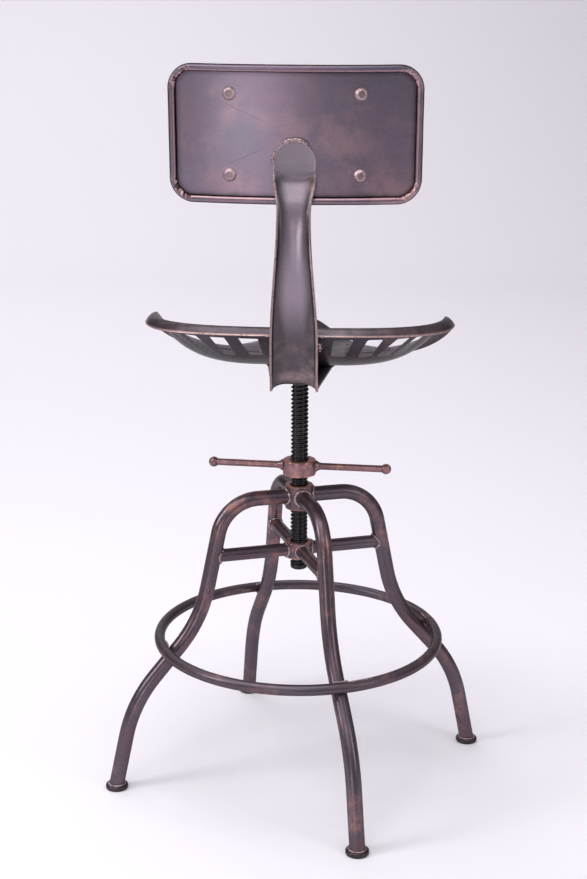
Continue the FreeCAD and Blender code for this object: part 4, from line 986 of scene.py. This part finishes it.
def outline_stops():
    """Places round the panel's outline: a corner centre, a direction and how far into a corner."""
    stops = []
    flat_x = PANEL_HALF[0] - PANEL_CORNER
    flat_up = PANEL_HALF[1] - PANEL_CORNER
    for quarter, (side, level) in enumerate(((1, 1), (-1, 1), (-1, -1), (1, -1))):
        for step in range(CORNER_STEPS + 1):
            turn = math.radians(90 * quarter + 90 * step / CORNER_STEPS)
            stops.append((side * flat_x, level * flat_up, turn, math.sin(math.pi * step / CORNER_STEPS)))
        run = 60 if quarter % 2 == 0 else 26
        turn = math.radians(90 * quarter + 90)
        for step in range(1, run):
            along = 1 - 2 * step / run
            across, rising = (along, 1) if quarter % 2 == 0 else (1, along)
            stops.append((side * flat_x * across, level * flat_up * rising, turn, 0.0))
    return stops


STOPS = outline_stops()


def carry_ring(bm, ordered, places, marks=None, shade=0.0):
    """Extrude a closed ring and set its new verts one by one, each with how bare it is rubbed and how much
    painted shade it gets.
    """
    if ordered is None:
        carried = bmesh.ops.create_circle(bm, segments=len(places), radius=0.1)["verts"]
    else:
        edges = [bm.edges.get((vert, ordered[index - 1])) for index, vert in enumerate(ordered)]
        carried = grow_in_order(bm, ordered, edges)
    bare, dark = bm.verts.layers.float["worn"], bm.verts.layers.float["hollow"]
    for index, (vert, place) in enumerate(zip(carried, places)):
        vert.co = place
        vert[bare] = marks[index] if marks else 0.0
        vert[dark] = shade
    return carried


def crumple(stop, turn_degrees):
    """How far the sheet is folded at a corner: worst at the lower left one, and on the roll's inside."""
    x, up, turn, corner_share = stop
    buckled = (1.0 if up < 0 else 0.7) if x < 0 else 0.4
    wander = noise.noise(Vector((turn * 3, x * 20, up * 20)))
    folds = 0.5 + 0.5 * math.sin(turn * 30 + 9 * wander + math.radians(turn_degrees) * 1.2)
    return buckled * math.sqrt(corner_share) * folds * ease(turn_degrees, 20, 130)


def roll_place(stop, turn_degrees):
    """A point of the rolled edge: -90 where it leaves the sheet, 0 outermost, 90 rearmost."""
    x, up, turn, corner_share = stop
    angle = math.radians(turn_degrees)
    waver = 0.05 * noise.noise(Vector((x * 25, up * 25, turn * 4)))
    squeeze = 1 - 0.6 * crumple(stop, turn_degrees) - abs(waver)
    outward = PANEL_CORNER - ROLL_INSET - ROLL + ROLL * squeeze * math.cos(angle)
    rearward = ROLL - PANEL_SHEET + ROLL * squeeze * math.sin(angle)
    return on_panel(x + outward * math.cos(turn), up + outward * math.sin(turn), rearward)


def roll_wear(stop, turn_degrees):
    """A bright line along the inside of the roll, and bright folds at its corners."""
    line = math.exp(-((turn_degrees - BRIGHT_LINE) / BRIGHT_SPREAD) ** 2)
    standing = ease(turn_degrees, 20, 130) * math.sqrt(stop[3]) - crumple(stop, turn_degrees) * 1.6
    return min(1.0, 0.7 * line + 0.9 * max(standing, 0.0))


def roll_shade(turn_degrees):
    """Painted shade on the roll's outside, in a line along its back and in the groove inside it."""
    outside = ease(turn_degrees, -45, -5) * (1 - ease(turn_degrees, 32, 66))
    line = 0.5 * math.exp(-((turn_degrees - DARK_LINE) / DARK_SPREAD) ** 2)
    return min(1.0, outside + line + ease(turn_degrees, 140, 165))


panel = bmesh.new()
panel.verts.layers.float.new("worn")
panel.verts.layers.float.new("hollow")
rim = None
INNER_END, ROLL_SWEEP = 190, 280
for step in range(31):
    turned_by = INNER_END - ROLL_SWEEP * step / 30
    rim = carry_ring(panel, rim, [roll_place(stop, turned_by) for stop in STOPS],
                     [roll_wear(stop, turned_by) for stop in STOPS], roll_shade(turned_by))
for inset in (0.009, 0.012, 0.016, 0.020, 0.024, 0.028, 0.0315):
    places = [on_panel(x + (PANEL_CORNER - inset) * math.cos(turn),
                       up + (PANEL_CORNER - inset) * math.sin(turn), -PANEL_SHEET)
              for x, up, turn, share in STOPS]
    # Painted shade along the border where the sheet turns into the roll, fading inward.
    rim = carry_ring(panel, rim, places, shade=0.6 - 0.6 * ease(inset, 0.009, 0.0145))
for shrink in (0.93, 0.86, 0.78, 0.70, 0.61, 0.52, 0.43, 0.34, 0.25, 0.16):
    rim = carry_ring(panel, rim, [on_panel((x + 0.0005 * math.cos(turn)) * shrink,
                                           (up + 0.0005 * math.sin(turn)) * shrink, -PANEL_SHEET)
                                  for x, up, turn, share in STOPS])
carry_ring(panel, rim, [on_panel(x * 0.16, 0.0, -PANEL_SHEET) for x, up, turn, share in STOPS])
bmesh.ops.remove_doubles(panel, verts=panel.verts, dist=0.00001)
bmesh.ops.recalc_face_normals(panel, faces=panel.faces)
middle_face = min(panel.faces, key=lambda face: (face.calc_center_median() - PANEL_CENTRE).length)
if middle_face.normal.y < 0:
    bmesh.ops.reverse_faces(panel, faces=panel.faces)
panel_piece = stand_piece(panel, "panel_pressing", "seat", panel_bronze, ["back_panel"], keep_normals=True)
thicken(panel_piece, PANEL_SHEET, 0.0004)


# Panel rivets: four rivets through the panel with a cone shaped head on each face. The
# cones are rubbed bright and their flat tops stay dark.

rivet_bronze = bronze_finish("rivet_bronze", (0.22, 0.155, 0.165), (0.20, 0.155, 0.175), (0.54, 0.39, 0.41),
                             40.0, 0.3, 1.0, flecks=0.2, rough=(0.34, 0.46), lacquer=0.15)
RIVET_FOOT, RIVET_HEIGHT = 0.0086, 0.0042
RIVET_ACROSS, RIVET_UP = 0.084, 0.0515
rivets = bmesh.new()
rubbed_flank = rivets.verts.layers.float.new("worn")
for side in (-1, 1):
    for level in (-1, 1):
        x, up = side * RIVET_ACROSS, level * RIVET_UP
        for face_out, sign in ((0.0001, 1), (-PANEL_SHEET - 0.0001, -1)):
            head = turned_blank(rivets, [(0.0, 0.0), (RIVET_FOOT, 0.0), (0.00875, 0.0004),
                                         (0.0084, 0.0010), (0.0058, 0.0036), (0.0050, 0.0041),
                                         (0.0044, RIVET_HEIGHT), (0.0, RIVET_HEIGHT)], 40)
            for vert in head:
                vert[rubbed_flank] = 1.0 if 0.0050 < vert.co.xy.length < RIVET_FOOT else 0.0
            base_point = on_panel(x, up, face_out)
            outward = (on_panel(x, up, face_out + sign * 0.01) - base_point).normalized()
            turn = outward.to_track_quat("Z", "Y").to_matrix().to_4x4()
            bmesh.ops.transform(rivets, matrix=Matrix.Translation(base_point) @ turn, verts=head)
stand_piece(rivets, "panel_rivet_heads", "seat", rivet_bronze, ["panel_rivets"])


# Weld beads of the seat: the arm's eye is welded to the panel at its top and one side, the
# arm to the pan's lip where they touch, and one blob sits on the arm's right side.

seat_beads = bmesh.new()
EYE_WELD_RADIUS = EYE_RADIUS + 0.0003


def eye_weld(start, end, width, seed):
    """A bead along the eye's round edge, between two angles counted from the right."""
    arc = []
    count = max(5, int(abs(end - start) / 5))
    for step in range(count + 1):
        angle = math.radians(start + (end - start) * step / count)
        height = EYE_CENTRE + EYE_WELD_RADIUS * math.sin(angle)
        arc.append(Vector((EYE_WELD_RADIUS * math.cos(angle), panel_back(height) - 0.0012, height)))
    bead_along(seat_beads, arc, stroke_widths(len(arc), width, seed))


eye_weld(52, 124, 0.0035, 3)
eye_weld(152, 190, 0.0028, 4)
for side in (-1, 1):
    lip_run = [Vector((side * (0.0322 + 0.0012 * step), -0.1518 + 0.0004 * step, 0.6945))
               for step in range(8)]
    bead_along(seat_beads, lip_run, stroke_widths(8, 0.0016, side + 7))
side_run = [Vector((ARM_HALF + 0.0014, -0.1505 + 0.0003 * step, 0.6865 - 0.0016 * step))
            for step in range(9)]
bead_along(seat_beads, side_run, stroke_widths(9, 0.0036, 11, ripple=0.4))
stand_piece(seat_beads, "seat_weld_beads", "seat", weld_bronze, crease=60)


# The pale studio sweep, its soft light and the camera that stands where the picture was
# taken from.

sweep_mesh = bmesh.new()
SWEEP_SIDE, SWEEP_NEAR, SWEEP_FAR, SWEEP_BEND, WALL_HEIGHT = 3.4, -4.4, 4.5, 1.5, 3.0
sweep_edge = [sweep_mesh.verts.new((x, SWEEP_NEAR, 0)) for x in (-SWEEP_SIDE, SWEEP_SIDE)]
sweep_line = [sweep_mesh.edges.new(sweep_edge)]
far_verts, sweep_line = extend(sweep_mesh, sweep_line)
bmesh.ops.translate(sweep_mesh, verts=far_verts, vec=(0, SWEEP_FAR - SWEEP_NEAR, 0))
last = bmesh.ops.spin(sweep_mesh, geom=far_verts + sweep_line, cent=(0, SWEEP_FAR, SWEEP_BEND),
                      axis=(1, 0, 0), dvec=(0, 0, 0), angle=math.pi / 2, steps=20,
                      use_duplicate=False)["geom_last"]
far_verts, sweep_line = open_ring(last)
top_verts, top_line = extend(sweep_mesh, sweep_line)
bmesh.ops.translate(sweep_mesh, verts=top_verts, vec=(0, 0, WALL_HEIGHT))
sweep_data = bpy.data.meshes.new("studio_sweep")
sweep_mesh.to_mesh(sweep_data)
sweep_mesh.free()
sweep_data.shade_smooth()
paper = bpy.data.materials.new("studio_paper")
paper.use_nodes = True
paper_shader = paper.node_tree.nodes["Principled BSDF"]
paper_shader.inputs["Base Color"].default_value = (0.86, 0.83, 0.88, 1.0)
paper_shader.inputs["Roughness"].default_value = 0.55
paper_shader.inputs["Specular IOR Level"].default_value = 0.25
sweep_data.materials.append(paper)
sweep = bpy.data.objects.new("studio_sweep", sweep_data)
bpy.context.scene.collection.objects.link(sweep)

world = bpy.data.worlds.new("studio")
world.use_nodes = True
bpy.context.scene.world = world
sky_nodes, sky_links = world.node_tree.nodes, world.node_tree.links
sky_place = sky_nodes.new("ShaderNodeTexCoord")
sky_split = sky_nodes.new("ShaderNodeSeparateXYZ")
sky_links.new(sky_place.outputs["Generated"], sky_split.inputs[0])
sky_ramp = sky_nodes.new("ShaderNodeValToRGB")
sky_links.new(sky_split.outputs["Z"], sky_ramp.inputs["Fac"])
sky_ramp.color_ramp.elements[0].color = (0.09, 0.088, 0.095, 1.0)
sky_ramp.color_ramp.elements[1].color = (0.75, 0.73, 0.77, 1.0)
low_sky = sky_ramp.color_ramp.elements.new(0.35)
low_sky.color = (0.24, 0.235, 0.25, 1.0)
sky_links.new(sky_ramp.outputs["Color"], sky_nodes["Background"].inputs["Color"])
sky_nodes["Background"].inputs["Strength"].default_value = 1.0
pale = sky_nodes.new("ShaderNodeBackground")
pale.inputs["Color"].default_value = (0.80, 0.77, 0.82, 1.0)
seen = sky_nodes.new("ShaderNodeLightPath")
choose = sky_nodes.new("ShaderNodeMixShader")
sky_links.new(seen.outputs["Is Camera Ray"], choose.inputs["Fac"])
sky_links.new(sky_nodes["Background"].outputs["Background"], choose.inputs[1])
sky_links.new(pale.outputs["Background"], choose.inputs[2])
sky_links.new(choose.outputs["Shader"], sky_nodes["World Output"].inputs["Surface"])


def studio_lamp(name, place, aim, size, power):
    """A soft box hung at a place and turned to the seat."""
    lamp = bpy.data.lights.new(name, "AREA")
    lamp.shape = "RECTANGLE"
    lamp.size, lamp.size_y = size
    lamp.energy = power
    holder = bpy.data.objects.new(name, lamp)
    bpy.context.scene.collection.objects.link(holder)
    holder.location = place
    holder.rotation_euler = (Vector(aim) - Vector(place)).to_track_quat("-Z", "Y").to_euler()


studio_lamp("top_box", (-0.5, -0.4, 3.2), (0, 0, 0.5), (2.4, 2.4), 51)
studio_lamp("left_box", (-2.8, -1.2, 2.1), (0, 0, 0.6), (0.9, 1.8), 38)
studio_lamp("right_box", (2.4, -1.6, 1.5), (0, 0, 0.5), (0.9, 1.8), 14)
studio_lamp("high_box", (-0.5, -3.2, 2.7), (0, 0, 0.8), (2.4, 1.6), 17)
studio_lamp("backdrop_box", (-2.6, 3.0, 3.9), (-1.0, 6.0, 1.3), (4.0, 1.5), 92)
studio_lamp("front_box", (-0.9, -3.5, 0.42), (0, 0, 0.85), (0.8, 0.5), 9)

CAMERA_PLACE = (0.1138, -2.1715, 1.1002)
CAMERA_TURN, CAMERA_DOWN, CAMERA_ROLL = 3.230, 15.119, 0.331
lens = bpy.data.cameras.new("camera")
lens.lens = 63.82
lens.sensor_width = 36.0
lens.sensor_fit = "AUTO"
camera = bpy.data.objects.new("camera", lens)
bpy.context.scene.collection.objects.link(camera)
aim = Matrix.Rotation(math.radians(CAMERA_TURN), 4, "Z") \
    @ Matrix.Rotation(math.radians(90 - CAMERA_DOWN), 4, "X") \
    @ Matrix.Rotation(math.radians(CAMERA_ROLL), 4, "Z")
camera.matrix_world = Matrix.Translation(CAMERA_PLACE) @ aim
bpy.context.scene.camera = camera
bpy.context.scene.view_settings.view_transform = "Standard"
